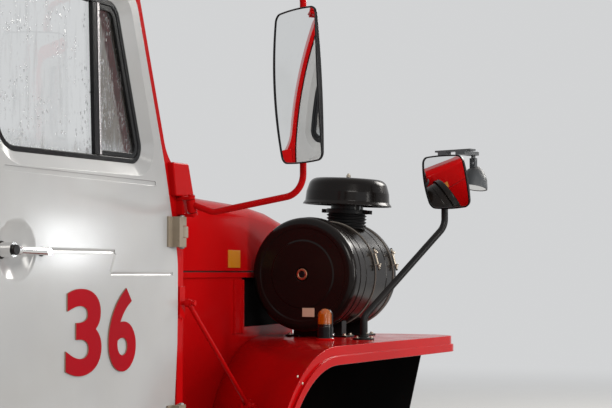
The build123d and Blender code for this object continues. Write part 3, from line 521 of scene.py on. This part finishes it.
def body_of(cad_node):
    """The body that a node belongs to, and its material slot."""
    bodies = frame["record"]["behaviour"]["bodies"]
    slots = {s["node"]: s["material_slot"] for s in frame["record"]["subparts"]}
    return [b for b, members in bodies.items() if cad_node in members][0], slots[cad_node]


def stands_for(cad_node, piece, material, smooth=35.0, flat=True, name=None):
    """Settle a piece that is seen in a node's place."""
    body, slot = body_of(cad_node)
    return settle(piece, name or cad_node + "_piece", body, material, (cad_node,), smooth, flat)


def copied(cad_node):
    """A free copy of a node's shape."""
    only(frame["nodes"][cad_node])
    bpy.ops.object.duplicate()
    piece = bpy.context.object
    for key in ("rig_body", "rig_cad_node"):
        if key in piece:
            del piece[key]
    piece.parent = None
    return only(piece)


def pressed(cad_node, material, width, segments=3, angle=30.0, smooth=35.0):
    """A node's shape with its edges rounded."""
    piece = copied(cad_node)
    edit()
    bpy.ops.mesh.remove_doubles(threshold=WELD)
    bpy.ops.mesh.dissolve_limited(angle_limit=radians(0.5))
    leave()
    if width:
        round_edges(piece, width, segments, angle)
    return stands_for(cad_node, piece, material, smooth)


def pressed_all(*rows):
    """Nodes pressed from rows of (node, material, width)."""
    for row in rows:
        pressed(*row)


def mirror_axes(yaw, pitch=0.0):
    """A mirror head's directions: outboard, up its back and out of its pane."""
    facing = Vector((-cos(yaw) * cos(pitch), sin(yaw) * cos(pitch), -sin(pitch)))
    outboard = Vector((-sin(yaw), -cos(yaw), 0))
    return outboard, facing.cross(outboard), facing


def domed(cad_node, middle, axes, radius, step=0.008):
    """A convex mirror pane: the node's outline with an even grid, cast onto the pane's sphere."""
    turn = Matrix(axes).transposed().to_4x4()
    centre = Matrix.Translation(middle - axes[2] * radius) @ turn
    skin, back = radius - 0.003, radius - 0.005
    piece = placed_at(copied(cad_node), centre.inverted())
    for face in piece.data.polygons:
        face.select = face.normal.z < 0.5 or face.center.length < back
    bpy.ops.object.mode_set(mode="EDIT")
    bpy.ops.mesh.select_mode(type="FACE")
    bpy.ops.mesh.delete(type="FACE")
    everything()
    bpy.ops.mesh.remove_doubles(threshold=WELD)
    bpy.ops.mesh.region_to_loop()
    bpy.ops.mesh.select_all(action="INVERT")
    bpy.ops.mesh.delete(type="EDGE")
    everything()
    bpy.ops.transform.resize(value=(1, 1, 0), center_override=(0, 0, skin))
    bpy.ops.mesh.edge_face_add()
    for normal in ((1, 0, 0), (0, 1, 0)):
        for line in range(-GRID_LINES, GRID_LINES + 1):
            everything()
            bpy.ops.mesh.bisect(plane_co=Vector(normal) * ((line + 0.5) * step), plane_no=normal)
    leave()
    modify(piece, "CAST", cast_type="SPHERE", factor=1.0, size=skin,
           use_radius_as_size=False, use_x=False, use_y=False)
    edit()
    bpy.ops.mesh.extrude_region_move(TRANSFORM_OT_translate={"value": (0, 0, -0.0038)})
    everything()
    bpy.ops.mesh.normals_make_consistent()
    leave()
    placed_at(piece, centre)
    return stands_for(cad_node, piece, "Silvered glass", 20.0, False)


def soft(rows, steps=5):
    """Rows of (radius, distance) in metres from rows of (radius, distance, corner radius) in mm."""
    rows = [[value * MM for value in row] for row in rows]
    made = []
    for at, (radius, along, bend) in enumerate(rows):
        if not bend:
            made.append((radius, along))
            continue
        corner = Vector((radius, along))
        into = (Vector(rows[at - 1][:2]) - corner).normalized()
        out = (Vector(rows[at + 1][:2]) - corner).normalized()
        half = into.angle(out) / 2
        middle = corner + (into + out).normalized() * (bend / sin(half))
        reach = bend / tan(half)
        first, last = corner + into * reach - middle, corner + out * reach - middle
        begin = atan2(first.y, first.x)
        turn = (atan2(last.y, last.x) - begin + pi) % (2 * pi) - pi
        for step in range(steps + 1):
            angle = begin + turn * step / steps
            made.append((middle.x + bend * cos(angle), middle.y + bend * sin(angle)))
    return made


def placed_at(piece, matrix):
    """Move a piece by a matrix, with the place put into its mesh."""
    only(piece)
    piece.matrix_world = matrix @ piece.matrix_world
    bpy.ops.object.transform_apply()
    return piece


def set_up(start, along):
    """The matrix that takes a piece from the origin and the Z axis to a place and a direction."""
    return Matrix.Translation(start) @ UP.rotation_difference(Vector(along)).to_matrix().to_4x4()


def turned(rows, start, along, segments=None, bevel=0.0, levels=3):
    """A piece turned about an axis, from rows of (radius, distance); a ring if the last row is the first."""
    deselect()
    closed = rows[0] == rows[-1]
    radius, height = rows[0]
    segments = segments or sizes().turns
    bpy.ops.mesh.primitive_circle_add(vertices=segments, radius=radius, location=(0, 0, height))
    piece = bpy.context.object
    bpy.ops.object.transform_apply()
    edit()
    bpy.ops.mesh.select_mode(type="EDGE")
    if not closed:
        bpy.ops.mesh.edge_face_add()
    for next_radius, next_height in rows[1:]:
        bpy.ops.mesh.extrude_region_move(TRANSFORM_OT_translate={"value": (0, 0, next_height - height)})
        scale = next_radius / radius
        bpy.ops.transform.resize(value=(scale, scale, 1), center_override=(0, 0, next_height))
        radius, height = next_radius, next_height
    everything()
    if closed:
        bpy.ops.mesh.remove_doubles(threshold=0.00001)
    bpy.ops.mesh.normals_make_consistent()
    leave()
    if bevel:
        round_edges(piece, bevel, levels, 28.0)
    return placed_at(piece, set_up(start, along))


def hoop(outer, inner, low, high, start, along, bevel=0.0, segments=None):
    """A flat ring about an axis."""
    rows = [(inner, low), (outer, low), (outer, high), (inner, high), (inner, low)]
    return turned(rows, start, along, segments, bevel, 2)


def cut(piece, place, out):
    """Cut off what lies beyond a plane and close the cut."""
    only(piece)
    edit()
    bpy.ops.mesh.bisect(plane_co=place, plane_no=out, use_fill=True, clear_outer=True)
    leave()
    return piece


def recolour(piece, number, test):
    """Give the faces whose centre and normal pass a test another of the piece's materials."""
    for face in piece.data.polygons:
        if test(face.center, face.normal):
            face.material_index = number


def block(low, high, bevel=0.0, segments=3):
    """A block between two corners, with rounded edges."""
    deselect()
    low, high = Vector(low), Vector(high)
    bpy.ops.mesh.primitive_cube_add(size=1, location=(low + high) / 2, scale=high - low)
    piece = bpy.context.object
    bpy.ops.object.transform_apply()
    if bevel:
        round_edges(piece, bevel, segments)
    return piece


def joined(pieces):
    """Several pieces made one."""
    deselect()
    for piece in pieces:
        piece.select_set(True)
    bpy.context.view_layer.objects.active = pieces[0]
    bpy.ops.object.join()
    return bpy.context.object


def pipe(points, bends, radius, round_steps=10):
    """A round tube along straight runs joined by bends, as a mesh."""
    deselect()
    points = [Vector(p) for p in points]
    bpy.ops.curve.primitive_bezier_curve_add()
    piece = bpy.context.object
    curve = piece.data
    curve.dimensions = "3D"
    curve.bevel_depth = radius
    curve.bevel_resolution = round_steps
    curve.resolution_u = 16
    curve.use_fill_caps = True
    rows = [(points[0], None, None)]
    for at, corner in enumerate(points[1:-1], 1):
        into = (corner - points[at - 1]).normalized()
        out = (points[at + 1] - corner).normalized()
        turn = into.angle(out)
        reach = bends[at - 1] * tan(turn / 2)
        handle = 4 / 3 * tan(turn / 4) * bends[at - 1]
        first, last = corner - into * reach, corner + out * reach
        rows += [(first, None, first + into * handle), (last, last - out * handle, None)]
    rows.append((points[-1], None, None))
    spline = curve.splines[0]
    spline.bezier_points.add(len(rows) - len(spline.bezier_points))
    for at, (place, left, right) in enumerate(rows):
        point = spline.bezier_points[at]
        point.handle_left_type = point.handle_right_type = "FREE"
        point.co = place
        before = rows[at - 1][0] if at else place
        after = rows[at + 1][0] if at + 1 < len(rows) else place
        point.handle_left = left or place + (before - place) / 3
        point.handle_right = right or place + (after - place) / 3
    piece.location = (0, 0, 0)
    bpy.ops.object.convert(target="MESH")
    return bpy.context.object


def bolts(rows, name, radius, body="corner", material="Zinc", washer=True, domed=False):
    """Hex heads on washers, or domed screws, from rows of (place, direction out of the surface)."""
    made = []
    for place, out in rows:
        out = Vector(out).normalized()
        if washer:
            rim = [(radius * 1.55, -0.0002), (radius * 1.55, radius * 0.25)]
            made.append(turned(rim, place, out, 32, radius * 0.08, 2))
        if domed:
            head = [(1, -0.05), (1, 0.22), (0.88, 0.42), (0.66, 0.56), (0.36, 0.65), (0.04, 0.68)]
            made.append(turned([(radius * a, radius * b) for a, b in head], place, out, 24))
        else:
            flats = [(radius, 0), (radius, radius * 0.95)]
            made.append(turned(flats, Vector(place) + out * radius * 0.2, out, 6, radius * 0.16, 2))
    return settle(joined(made), name, body, material)


# Pieces


def digit(figure, low, high, skin, depth):
    """A plain bold digit between two corners (x, z) on the door's skin."""
    deselect()
    bpy.ops.object.text_add()
    letter = bpy.context.object.data
    letter.body = figure
    letter.offset, letter.extrude = 0.022, 0.05
    letter.bevel_depth, letter.bevel_resolution, letter.resolution_u = 0.006, 1, 12
    bpy.ops.object.convert(target="MESH")
    piece = only(bpy.context.object)
    edit()
    bpy.ops.mesh.remove_doubles(threshold=0.0001)
    bpy.ops.mesh.normals_make_consistent()
    leave()
    found = [[corner.co[axis] for corner in piece.data.vertices] for axis in range(3)]
    least, most = Vector(map(min, found)), Vector(map(max, found))
    wanted = (high[0] - low[0], high[1] - low[1], depth)
    scale = Vector([a / b for a, b in zip(wanted, most - least)])
    shift = least * scale
    place = Vector((low[0] - shift.x, skin + 0.0003 + shift.z, low[1] - shift.y))
    upright = Matrix.Rotation(radians(90), 4, "X") @ Matrix.Diagonal((*scale, 1))
    return placed_at(piece, Matrix.Translation(place) @ upright)


class CORNER_OT_door(Operator):
    """Door skin, inner card, handle, hinges' door leaves and digits"""

    bl_idname = "corner.door"
    bl_label = "Door"

    def execute(self, context):
        s = sizes()
        pressed_all(
            ("door_panel", "Cream paint", s.edge), ("door_handle", "Chrome", 0.003, 3, 25.0),
            ("door_button", "Moulded black", 0.0015), ("upper_hinge_leaf", "Hinge paint", s.small_edge),
            ("lower_hinge_leaf", "Hinge paint", s.small_edge))
        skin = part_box("door_panel")[0].y
        gaskets = [hoop(0.0205, 0.0165, 0, 0.003, (-0.855, skin, 0.772), (0, -1, 0), 0.0008, 48),
                   hoop(0.0115, 0.0075, 0, 0.003, (-0.7, skin, 0.77), (0, -1, 0), 0.0008, 48)]
        settle(joined(gaskets), "handle_gaskets", "door", "Rubber")
        self.digits(s)
        self.card()
        return {"FINISHED"}

    def digits(self, s):
        """Two plain digits, a three and a six, standing off the skin."""
        skin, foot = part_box("door_panel")[0].y, 0.468
        for figure, name, start, width in (
            ("3", "digit_three", -0.6, s.first_digit_width),
            ("6", "digit_six", -0.412, s.second_digit_width),
        ):
            piece = digit(figure, (start, foot), (start + width, foot + s.digit_height), skin, s.digit_depth)
            settle(piece, name, "door", ["Digit paint", "Digit edge"], smooth=30.0)
            recolour(piece, 1, lambda centre, normal: abs(normal.y) < 0.5)

    def card(self):
        """The trim panel on the door's inner side, with a raised field and its screws."""
        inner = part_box("door_panel")[1].y
        face = inner + 0.0032
        board = block((-0.885, inner + 0.0002, 0.17), (-0.15, face, 0.93), 0.0012)
        field = block((-0.84, inner + 0.0022, 0.24), (-0.2, inner + 0.0085, 0.5), 0.004, 4)
        settle(joined([board, field]), "door_card", "door", "Door card")
        columns = (-0.865, -0.69, -0.52, -0.34, -0.17)
        rows = [((x, face, z), (0, 1, 0)) for x in columns for z in (0.19, 0.91)]
        bolts(rows, "card_screws", 0.004, "door")
        pressed("inner_handles", "Chrome", 0.002)


class CORNER_OT_window(Operator):
    """Window seal, divider, vent frame and panes"""

    bl_idname = "corner.window"
    bl_label = "Window"

    def execute(self, context):
        pressed_all(
            ("window_seal", "Moulded black", 0.0025), ("vent_frame", "Moulded black", 0.002),
            ("window_divider", "Moulded black", 0.002), ("divider_trim", "Bright trim", 0.0015),
            ("main_glass", "Main pane", 0), ("vent_glass", "Vent pane", 0))
        return {"FINISHED"}


class CORNER_OT_cab(Operator):
    """Door frame, its seal, hinge brackets, mirror brackets and latch plate"""

    bl_idname = "corner.cab"
    bl_label = "Cab side"

    def execute(self, context):
        s = sizes()
        pressed_all(
            ("cab_side_frame", "Red paint", s.edge), ("door_seal", "Rubber", 0.001),
            ("upper_hinge_bracket", "Hinge paint", s.small_edge),
            ("lower_hinge_bracket", "Hinge paint", s.small_edge),
            ("lower_mirror_bracket", "Red paint", 0.002), ("upper_mirror_bracket", "Red paint", 0.002))
        x, y, *levels = HINGE_PIN
        half_pin = 0.0418
        heads = [((x, y, level + side * half_pin), (0, 0, side)) for level in levels for side in (-1, 1)]
        bolts(heads, "hinge_pin_heads", 0.0072, material="Steel", washer=False, domed=True)
        pressed_all(("door_striker", "Steel", s.small_edge), ("chassis_foot", "Black paint", 0.002))
        return {"FINISHED"}


class CORNER_OT_bonnet(Operator):
    """Scuttle, bonnet side, panel below it, reflector and rubber strip"""

    bl_idname = "corner.bonnet"
    bl_label = "Bonnet and scuttle"

    def execute(self, context):
        s = sizes()
        # The bay sheet is a near-black sheet behind the bonnet side: painted shade for the dark engine bay
        # behind the drum
        pressed_all(
            ("scuttle_panel", "Red paint", s.edge), ("bonnet_side", "Red paint", s.edge),
            ("inner_side_panel", "Red paint", s.edge), ("bay_sheet", "Matt black", 0.001),
            ("bonnet_rubber", "Rubber", 0.001))
        side = Vector((BONNET_TAPER, -1, 0)).normalized()
        rows = [((x, 0.2109 + BONNET_TAPER * (x - 0.07), 0.535 + 0.028 * z), side)
                for x in (0.947, 1.018) for z in range(6)]
        bolts(rows, "post_rivets", 0.0032, material="Red paint", washer=False, domed=True)
        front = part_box("scuttle_panel")[1].x
        ribs = [block((front - 0.001, y, 0.3), (front + 0.01, y + 0.028, 0.86), 0.004)
                for y in (0.26, 0.33, 0.4)]
        settle(joined(ribs), "scuttle_ribs", "corner", "Red paint")
        pressed("side_reflector", "Yellow reflector", 0.0012)
        return {"FINISHED"}


class CORNER_OT_wing(Operator):
    """Wing with its lip bolts, the sheet below it, and the stay with its brackets"""

    bl_idname = "corner.wing"
    bl_label = "Wing"

    def execute(self, context):
        s = sizes()
        # The wing liner is near-black matt: the liner's own black, and painted shade for the dark space
        # under the wing
        pressed_all(
            ("wing", "Red paint", 0.004, 4), ("wing_liner", "Matt black", s.small_edge),
            ("wing_stay", "Red paint", s.small_edge), ("stay_bracket", "Red paint", s.small_edge))
        bolts([((-0.037, -0.0932, 0.637), (0, -1, 0)), ((0.322, -0.0932, 0.326), (0, -1, 0))],
              "stay_bolts", 0.008, material="Red paint", washer=False)
        bolts([((x, -0.2999, z), (0, -1, 0)) for x, z in ((0.201, 0.427), (0.234, 0.405))],
              "lip_screws", 0.0038, washer=False, domed=True)
        return {"FINISHED"}


class CORNER_OT_cleaner(Operator):
    """Drum air cleaner: cover, drum, bands, stack, rain cap, cradle and hose"""

    bl_idname = "corner.cleaner"
    bl_label = "Air cleaner"

    def execute(self, context):
        self.cover()
        self.drum()
        self.stack()
        self.cap()
        self.fasteners()
        # The side faces of the bands get a pale finish: a painted highlight where their edges catch the
        # light
        bands = pressed("cleaner_clamps", ["Drum paint", "Zinc", "Painted edge highlight"], 0.0008, 2)
        recolour(bands, 2, lambda centre, normal: abs(normal.x) > 0.6)
        strap = 0.1955

        def lug(centre, normal):
            out = centre - DRUM
            return out.yz.length > strap and 7.0 < degrees(atan2(out.z, -out.y)) < 25.0

        recolour(bands, 0, lambda centre, normal: (centre - DRUM).yz.length > strap)
        recolour(bands, 1, lug)
        nuts = []
        for x in (1.28, 1.45):
            for angle, way in ((radians(9.4), -1), (radians(22.6), 1)):
                out = Vector((0, sin(angle), cos(angle))) * way
                place = on_drum(x) + Vector((0, -cos(angle), sin(angle))) * BAND_RADIUS
                nuts.append((place - out * 0.001, out))
        bolts(nuts, "band_nuts", 0.0068, washer=False)
        pressed("cleaner_cradle", "Black paint", 0.0015)
        feet = []
        for x in (1.211, 1.411):
            floor = wing_top(x - 0.035)
            for side in (-1, 1):
                feet += [((x + along, DRUM.y + side * 0.107, floor + FOOT_PLATE), UP)
                         for along in (-0.026, 0.026)]
        bolts(feet, "cradle_bolts", 0.006)
        pressed_all(("neck_clamp", "Black paint", 0.0008), ("cleaner_plate", "Beige plate", 0.0004))
        bend = on_drum(1.621)
        hose = pipe([on_drum(HOSE_START), bend, bend + Vector((0, 0.37, -0.09))], [0.08], 0.062, 16)
        stands_for("outlet_hose", hose, "Rubber", 50.0)
        straps = [hoop(0.0642, 0.0618, 0, 0.012, on_drum(x), (1, 0, 0), 0.0006) for x in (1.537, 1.556)]
        straps.append(block((1.536, 0.02, 0.708), (1.55, 0.03, 0.724), 0.002))
        settle(joined(straps), "hose_clamps", "corner", "Zinc")
        return {"FINISHED"}

    def cover(self):
        """The rear cover: a sunk middle, a raised ring and a rolled edge."""
        rows = soft([
            (10, 4.2, 0), (23.5, 4.2, 1), (26.2, 0, 1), (116, 0, 4), (121.5, 2.2, 4), (160, 2.2, 4),
            (165.5, 0, 4), (200, 0, 24), (200, 52, 0), (202.1, 53.8, 1), (202.1, 65.5, 1), (199, 67, 0),
            (180, 67, 0),
        ], 6)
        piece = turned(rows, on_drum(COVER_REAR), (1, 0, 0), 160)
        stands_for("air_cleaner_cover", piece, "Drum paint", 30.0, name="cleaner_cover_piece")

    def drum(self):
        """The drum with its pressed grooves, its outlet and its stack."""
        rows = soft([
            (150, 0.4, 0), (182, 0.4, 1), (182, 9, 1), (190, 12, 2), (190, 58, 1), (188, 60.5, 1),
            (188, 64.5, 1), (190, 67, 1), (190, 248, 1), (188, 250.5, 1), (188, 254.5, 1), (190, 257, 1),
            (190, 363, 22), (150, 363, 4), (140, 359.5, 4), (76, 359.5, 4), (70, 363, 3), (62, 363, 2),
            (62, 403, 1), (56, 403, 0), (56, 390, 0),
        ])
        drum = turned(rows, on_drum(BODY_REAR), (1, 0, 0), 160)
        stack = hoop(0.06, 0.055, -0.05, 0.0, STACK_FOOT, STACK_UP, 0.001)
        stands_for("air_cleaner_body", joined([drum, stack]), "Drum paint", 30.0, name="cleaner_drum_piece")

    def stack(self):
        """The rubber sleeve, with round ribs."""
        bore, low, high = 0.0605, -0.05, 0.0196
        rows = [(bore, low)]
        for step in range(97):
            rows.append((0.0703 + 0.0034 * cos(2 * pi * step / 16), low + 0.0695 * step / 96))
        rows += [(bore, high), (bore, low)]
        sleeve = turned(rows, STACK_FOOT, STACK_UP, 96)
        stands_for("intake_stack", sleeve, "Rubber", 60.0, name="stack_sleeve")

    def cap(self):
        """The mushroom cap with its rolled rim, pipe and fins."""
        rim = STACK_FOOT + STACK_UP * 0.033
        rows = soft([
            (2, 104, 0), (137, 97, 34), (152, 48, 20), (155, 14, 6), (162.8, 4, 1.5), (162.8, 0, 0.8),
            (157, 0, 0.8), (150, 15, 5), (147, 46, 15), (133, 92, 20), (2, 99, 0),
        ], 7)
        parts = [turned(rows, rim, STACK_UP, 160)]
        parts.append(hoop(0.06, 0.056, -0.0325, 0.06, rim, STACK_UP, 0.001))
        lean = set_up(rim, STACK_UP)
        for step in range(4):
            fin = block((0.058, -0.0018, 0.02), (0.15, 0.0018, 0.05), 0.0008, 2)
            parts.append(placed_at(fin, lean @ Matrix.Rotation(radians(45 + 90 * step), 4, "Z")))
        stands_for("rain_cap", joined(parts), "Drum paint", 30.0)

    def fasteners(self):
        """The cover's middle ring with a black plug, painted shade for the hole in the ring, and the stud
        and nut on the cap.
        """
        rows = [(0.0122, 0.0037), (0.02, 0.0037), (0.02, -0.0016), (0.0186, -0.003), (0.0136, -0.003),
                (0.0122, -0.0016), (0.0122, 0.0037)]
        ring = turned(rows, on_drum(COVER_REAR), (1, 0, 0), 64)
        rows = [(0.0115, 0.0037), (0.0115, 0), (0.01, -0.001), (0.004, -0.001), (0.004, 0.001),
                (0.001, 0.001)]
        plug = turned(rows, on_drum(COVER_REAR), (1, 0, 0), 48)
        top = STACK_FOOT + STACK_UP * 0.1372
        nut = turned([(0.009, 0.0), (0.009, 0.0078)], top, STACK_UP, 6, 0.0011, 2)
        stud = turned([(0.005, 0.0), (0.005, 0.013), (0.0042, 0.014), (0.002, 0.014)], top, STACK_UP, 32)
        piece = joined([ring, plug, nut, stud])
        stands_for("cleaner_fasteners", piece, ["Copper", "Moulded black", "Zinc"], 30.0)
        # The plug in the ring is black: painted shade for the ring's hole
        recolour(piece, 1, lambda centre, normal: centre.z < 0.8 and (centre - DRUM).yz.length < 0.0119)
        recolour(piece, 2, lambda centre, normal: centre.z > 0.8)


class CORNER_OT_lamp(Operator):
    """Marker lamp on the wing"""

    bl_idname = "corner.lamp"
    bl_label = "Marker lamp"

    def execute(self, context):
        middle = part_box("lamp_body")
        floor = Vector(((middle[0].x + middle[1].x) / 2, (middle[0].y + middle[1].y) / 2, middle[0].z))
        wall, flange, shoulder = 0.004, 0.0071, 0.081

        def dome(radius, low):
            rows = [(radius, low), (radius, shoulder)]
            for angle in map(radians, (9, 18, 27, 36, 45, 54, 63, 72, 80, 87)):
                rows.append((radius * cos(angle), shoulder + radius * sin(angle)))
            return turned(rows, floor, UP, 96)

        wedge = dome(0.026, 0.043)
        for side in (1, -1):
            cut(wedge, floor + Vector((side * wall, 0, 0)), (side, 0, 0))
        foot = turned(soft([
            (20, 0, 0), (31, 0, 0.6), (31, 7, 1.6), (27.5, 7, 1), (26, 9, 1), (26, 44, 1), (18, 44, 0),
        ]), floor, UP, 96)
        piece = stands_for("lamp_body", joined([foot, wedge]), ["Moulded black", "Red paint"], 30.0)
        recolour(piece, 1, lambda centre, normal: centre.z < floor.z + flange)
        lenses = (("lamp_amber_lens", -1, "Amber lens"), ("lamp_clear_lens", 1, "Clear lens"))
        for node_name, side, material in lenses:
            half = cut(dome(0.025, 0.04405), floor + Vector((side * 0.00405, 0, 0)), (-side, 0, 0))
            stands_for(node_name, half, material, 40.0)
        rows = [(floor + Vector((0, side * 0.0265, flange)), UP) for side in (-1, 1)]
        bolts(rows, "lamp_screws", 0.0032, material="Chrome", washer=False, domed=True)
        rows = [(floor + Vector((0.022, -0.014, 0.018)), (0.84, -0.54, 0))]
        bolts(rows, "lamp_nut", 0.005, material="Chrome", washer=False)
        return {"FINISHED"}


class CORNER_OT_mirrors(Operator):
    """Tall mirror, small mirror and the round mirror below its plate"""

    bl_idname = "corner.mirrors"
    bl_label = "Mirrors"

    def execute(self, context):
        self.tall()
        self.small()
        pressed_all(("spotter_shell", "Grey plastic", 0.002), ("spotter_glass", "Silvered glass", 0))
        return {"FINISHED"}

    def tall(self):
        """The tall mirror's arm, head, clamps and screws."""
        low, high = Vector((-0.045, -0.094, 0.905)), Vector((-0.244, -0.094, 1.512))
        line = (high - low).normalized()
        points = [low + Vector((0, -0.012, 0)), (-0.042, -0.16, 0.886), (*TALL_TUBE, 0.93),
                  (*TALL_TUBE, 1.49), high + Vector((0.006, -0.012, 0))]
        parts = [pipe(points, [0.045, 0.06, 0.055], 0.009, 12)]
        parts += [hoop(0.013, 0.00505, -0.018, 0.018, at, line, 0.001, 64) for at in (low, high)]
        stands_for("tall_mirror_arm", joined(parts), "Red paint")
        pressed_all(
            ("tall_mirror_shell", "Moulded black", 0.003), ("tall_mirror_clamps", "Black paint", 0.001))
        outboard, _, facing = mirror_axes(TALL_YAW)
        rows = [(Vector((*TALL_TUBE, z)) - facing * 0.0158, -facing) for z in (1.098, 1.318)]
        bolts(rows, "tall_clamp_bolts", 0.0045, "tall_mirror")
        middle = Vector((*TALL_TUBE, 1.208)) + facing * 0.053 + outboard * 0.033
        axes = outboard, up, facing = mirror_axes(TALL_YAW, TALL_PITCH)
        domed("tall_mirror_glass", middle, axes, 1.8)
        back = middle - facing * 0.026
        rows = [(back + outboard * across + up * rise, -facing)
                for across in (-0.06, 0.06) for rise in (-0.165, 0.165)]
        bolts(rows, "tall_head_screws", 0.0034, "tall_mirror", washer=False, domed=True)

    def small(self):
        """The small mirror's arm, head, clamp and plates."""
        foot = Vector((1.02, -0.16, wing_top(0.984)))
        points = [foot + UP * 0.002, (*foot.xy, 0.568), (*AUX_TUBE, 0.885), (*AUX_TUBE, 1.115)]
        base = soft([
            (20, 0.1, 0), (36, 0.1, 0.5), (36, 6, 1.5), (21, 6, 3), (18, 10, 2), (18, 16, 1.5), (12, 16, 0),
        ])
        parts = [pipe(points, [0.045, 0.06], 0.012, 14), turned(base, foot, UP, 64)]
        stands_for("aux_mirror_arm", joined(parts), "Black paint")
        rows = [(foot + Vector((0.028 * cos(angle), 0.028 * sin(angle), FOOT_PLATE)), UP)
                for angle in map(radians, (30, 150, 270))]
        bolts(rows, "aux_foot_bolts", 0.0048)
        pressed_all(
            ("aux_mirror_shell", "Moulded black", 0.003), ("aux_mirror_clamp", "Black paint", 0.001),
            ("aux_mirror_plate", "Grey paint", 0.001))
        outboard, _, facing = mirror_axes(AUX_ARM_YAW)
        middle = Vector((*AUX_TUBE, 1.035)) + facing * 0.064 + outboard * 0.041
        domed("aux_mirror_glass", middle, mirror_axes(AUX_YAW, AUX_PITCH), 0.7, 0.005)
        rows = [(Vector((*AUX_TUBE, 1.045)) - facing * 0.0188, -facing)]
        bolts(rows, "aux_clamp_bolt", 0.005, "aux_mirror")


def seen_by_eye(tree):
    """One where the camera looks, directly or by a mirror or a pane."""
    path = node(tree, "LightPath")
    clear = maths("MAXIMUM", path.outputs["Is Glossy Ray"], path.outputs["Is Transmission Ray"])
    return maths("MAXIMUM", path.outputs["Is Camera Ray"], clear)


class CORNER_OT_stage(Operator):
    """Floor, backdrop, lights and camera"""

    bl_idname = "corner.stage"
    bl_label = "Studio"

    def execute(self, context):
        scene = context.scene
        scene.view_settings.view_transform = "Standard"
        self.ground()
        self.world(scene)
        # Name, place, aim, width, height, power, colour
        lamps = (
            ("Key", (-3.2, -3.4, 3.4), (0.2, 0, 0.7), 2.4, 1.6, 120.0, (1.0, 0.96, 0.9)),
            ("Fill", (-1.2, -4.6, 1.4), (0.4, 0, 0.7), 3.0, 2.0, 14.0, (0.9, 0.95, 1.0)),
            ("Rim", (4.4, -1.6, 3.0), (0.8, 0, 0.8), 1.8, 1.4, 120.0, (1.0, 0.97, 0.92)),
            ("Strip", (0.9, -4.0, 1.3), (0.9, 0, 0.75), 0.6, 1.9, 44.0, (1.0, 0.97, 0.92)),
            ("Window", (3.7, -3.0, 0.9), (-0.8, -0.06, 0.84), 0.32, 0.28, 4.0, (0.96, 0.98, 1.0)),
        )
        for name, place, aim, width, height, power, colour in lamps:
            data = bpy.data.lights.new(name, "AREA")
            data.shape, data.size, data.size_y = "RECTANGLE", width, height
            data.energy, data.color = power, colour
            lamp = bpy.data.objects.new(name, data)
            scene.collection.objects.link(lamp)
            lamp.location = place
            lamp.visible_camera = False
            lamp.rotation_euler = (Vector(aim) - Vector(place)).to_track_quat("-Z", "Y").to_euler()
        data = bpy.data.cameras.new("Camera")
        data.sensor_width, data.lens, data.clip_end = 36.0, 85.0, 60.0
        camera = bpy.data.objects.new("Camera", data)
        scene.collection.objects.link(camera)
        camera.location = (-3.514, -2.059, 0.72)
        pitch, heading = radians(2.73), radians(25.0)
        gaze = Vector((cos(pitch) * cos(heading), cos(pitch) * sin(heading), sin(pitch)))
        camera.rotation_euler = gaze.to_track_quat("-Z", "Y").to_euler()
        scene.camera = camera
        return {"FINISHED"}

    def ground(self):
        """A plain floor that curves up into the backdrop."""
        floor = block((-9.0, -9.0, -0.02), (9.0, 9.0, -0.0002))
        floor.name = "floor"
        made, shader, where = start_material(colours().floor)
        made.name = "Studio floor"
        tree = made.node_tree
        join(ramp(noise(where, 3.0, 4.0), 0.3, 0.7, 0.6, 0.8), shader.inputs["Roughness"])
        out = node(tree, "VectorMath", operation="LENGTH")
        join(where, out.inputs[0])
        far = times(ramp(out.outputs["Value"], 2.6, 7.5), seen_by_eye(tree))
        glow = node(tree, "Emission", Color=BACKDROP, Strength=BACKDROP_SEEN)
        mixed = node(tree, "MixShader")
        join(far, mixed.inputs["Fac"])
        join(shader.outputs["BSDF"], mixed.inputs[1])
        join(glow.outputs["Emission"], mixed.inputs[2])
        join(mixed.outputs["Shader"], tree.nodes["Material Output"].inputs["Surface"])
        floor.data.materials.append(made)

    def world(self, scene):
        """An even pale surround, brighter to the eye, glossy and clear surfaces than as a light."""
        world = bpy.data.worlds.new("Studio")
        scene.world = world
        world.use_nodes = True
        tree = world.node_tree
        background = tree.nodes["Background"].inputs
        background["Color"].default_value = BACKDROP
        strength = node(tree, "MapRange", **{"To Min": 0.45, "To Max": BACKDROP_SEEN})
        join(seen_by_eye(tree), strength.inputs["Value"])
        join(strength.outputs["Result"], background["Strength"])


class CORNER_PT_panel(Panel):
    """The corner's pieces in the sidebar"""

    bl_label = "Fire engine corner"
    bl_idname = "CORNER_PT_panel"
    bl_space_type = "VIEW_3D"
    bl_region_type = "UI"
    bl_category = "Corner"

    def draw(self, context):
        layout = self.layout
        for holder in (context.scene.corner_sizes, context.scene.corner_colours):
            column = layout.column()
            for name in holder.__annotations__:
                column.prop(holder, name)
        for step in STEPS:
            layout.operator(step.bl_idname)


STEPS = (
    CORNER_OT_stage, CORNER_OT_door, CORNER_OT_window, CORNER_OT_cab, CORNER_OT_bonnet,
    CORNER_OT_wing, CORNER_OT_cleaner, CORNER_OT_lamp, CORNER_OT_mirrors,
)
CLASSES = (CornerSizes, CornerColours, *STEPS, CORNER_PT_panel)


def register():
    for one in CLASSES:
        bpy.utils.register_class(one)
    bpy.types.Scene.corner_sizes = PointerProperty(type=CornerSizes)
    bpy.types.Scene.corner_colours = PointerProperty(type=CornerColours)


def unregister():
    del bpy.types.Scene.corner_colours
    del bpy.types.Scene.corner_sizes
    for one in reversed(CLASSES):
        bpy.utils.unregister_class(one)


def main():
    register()
    for step in STEPS:
        group_name, name = step.bl_idname.split(".")
        getattr(getattr(bpy.ops, group_name), name)()
    deselect()


if __name__ == "__main__":
    main()
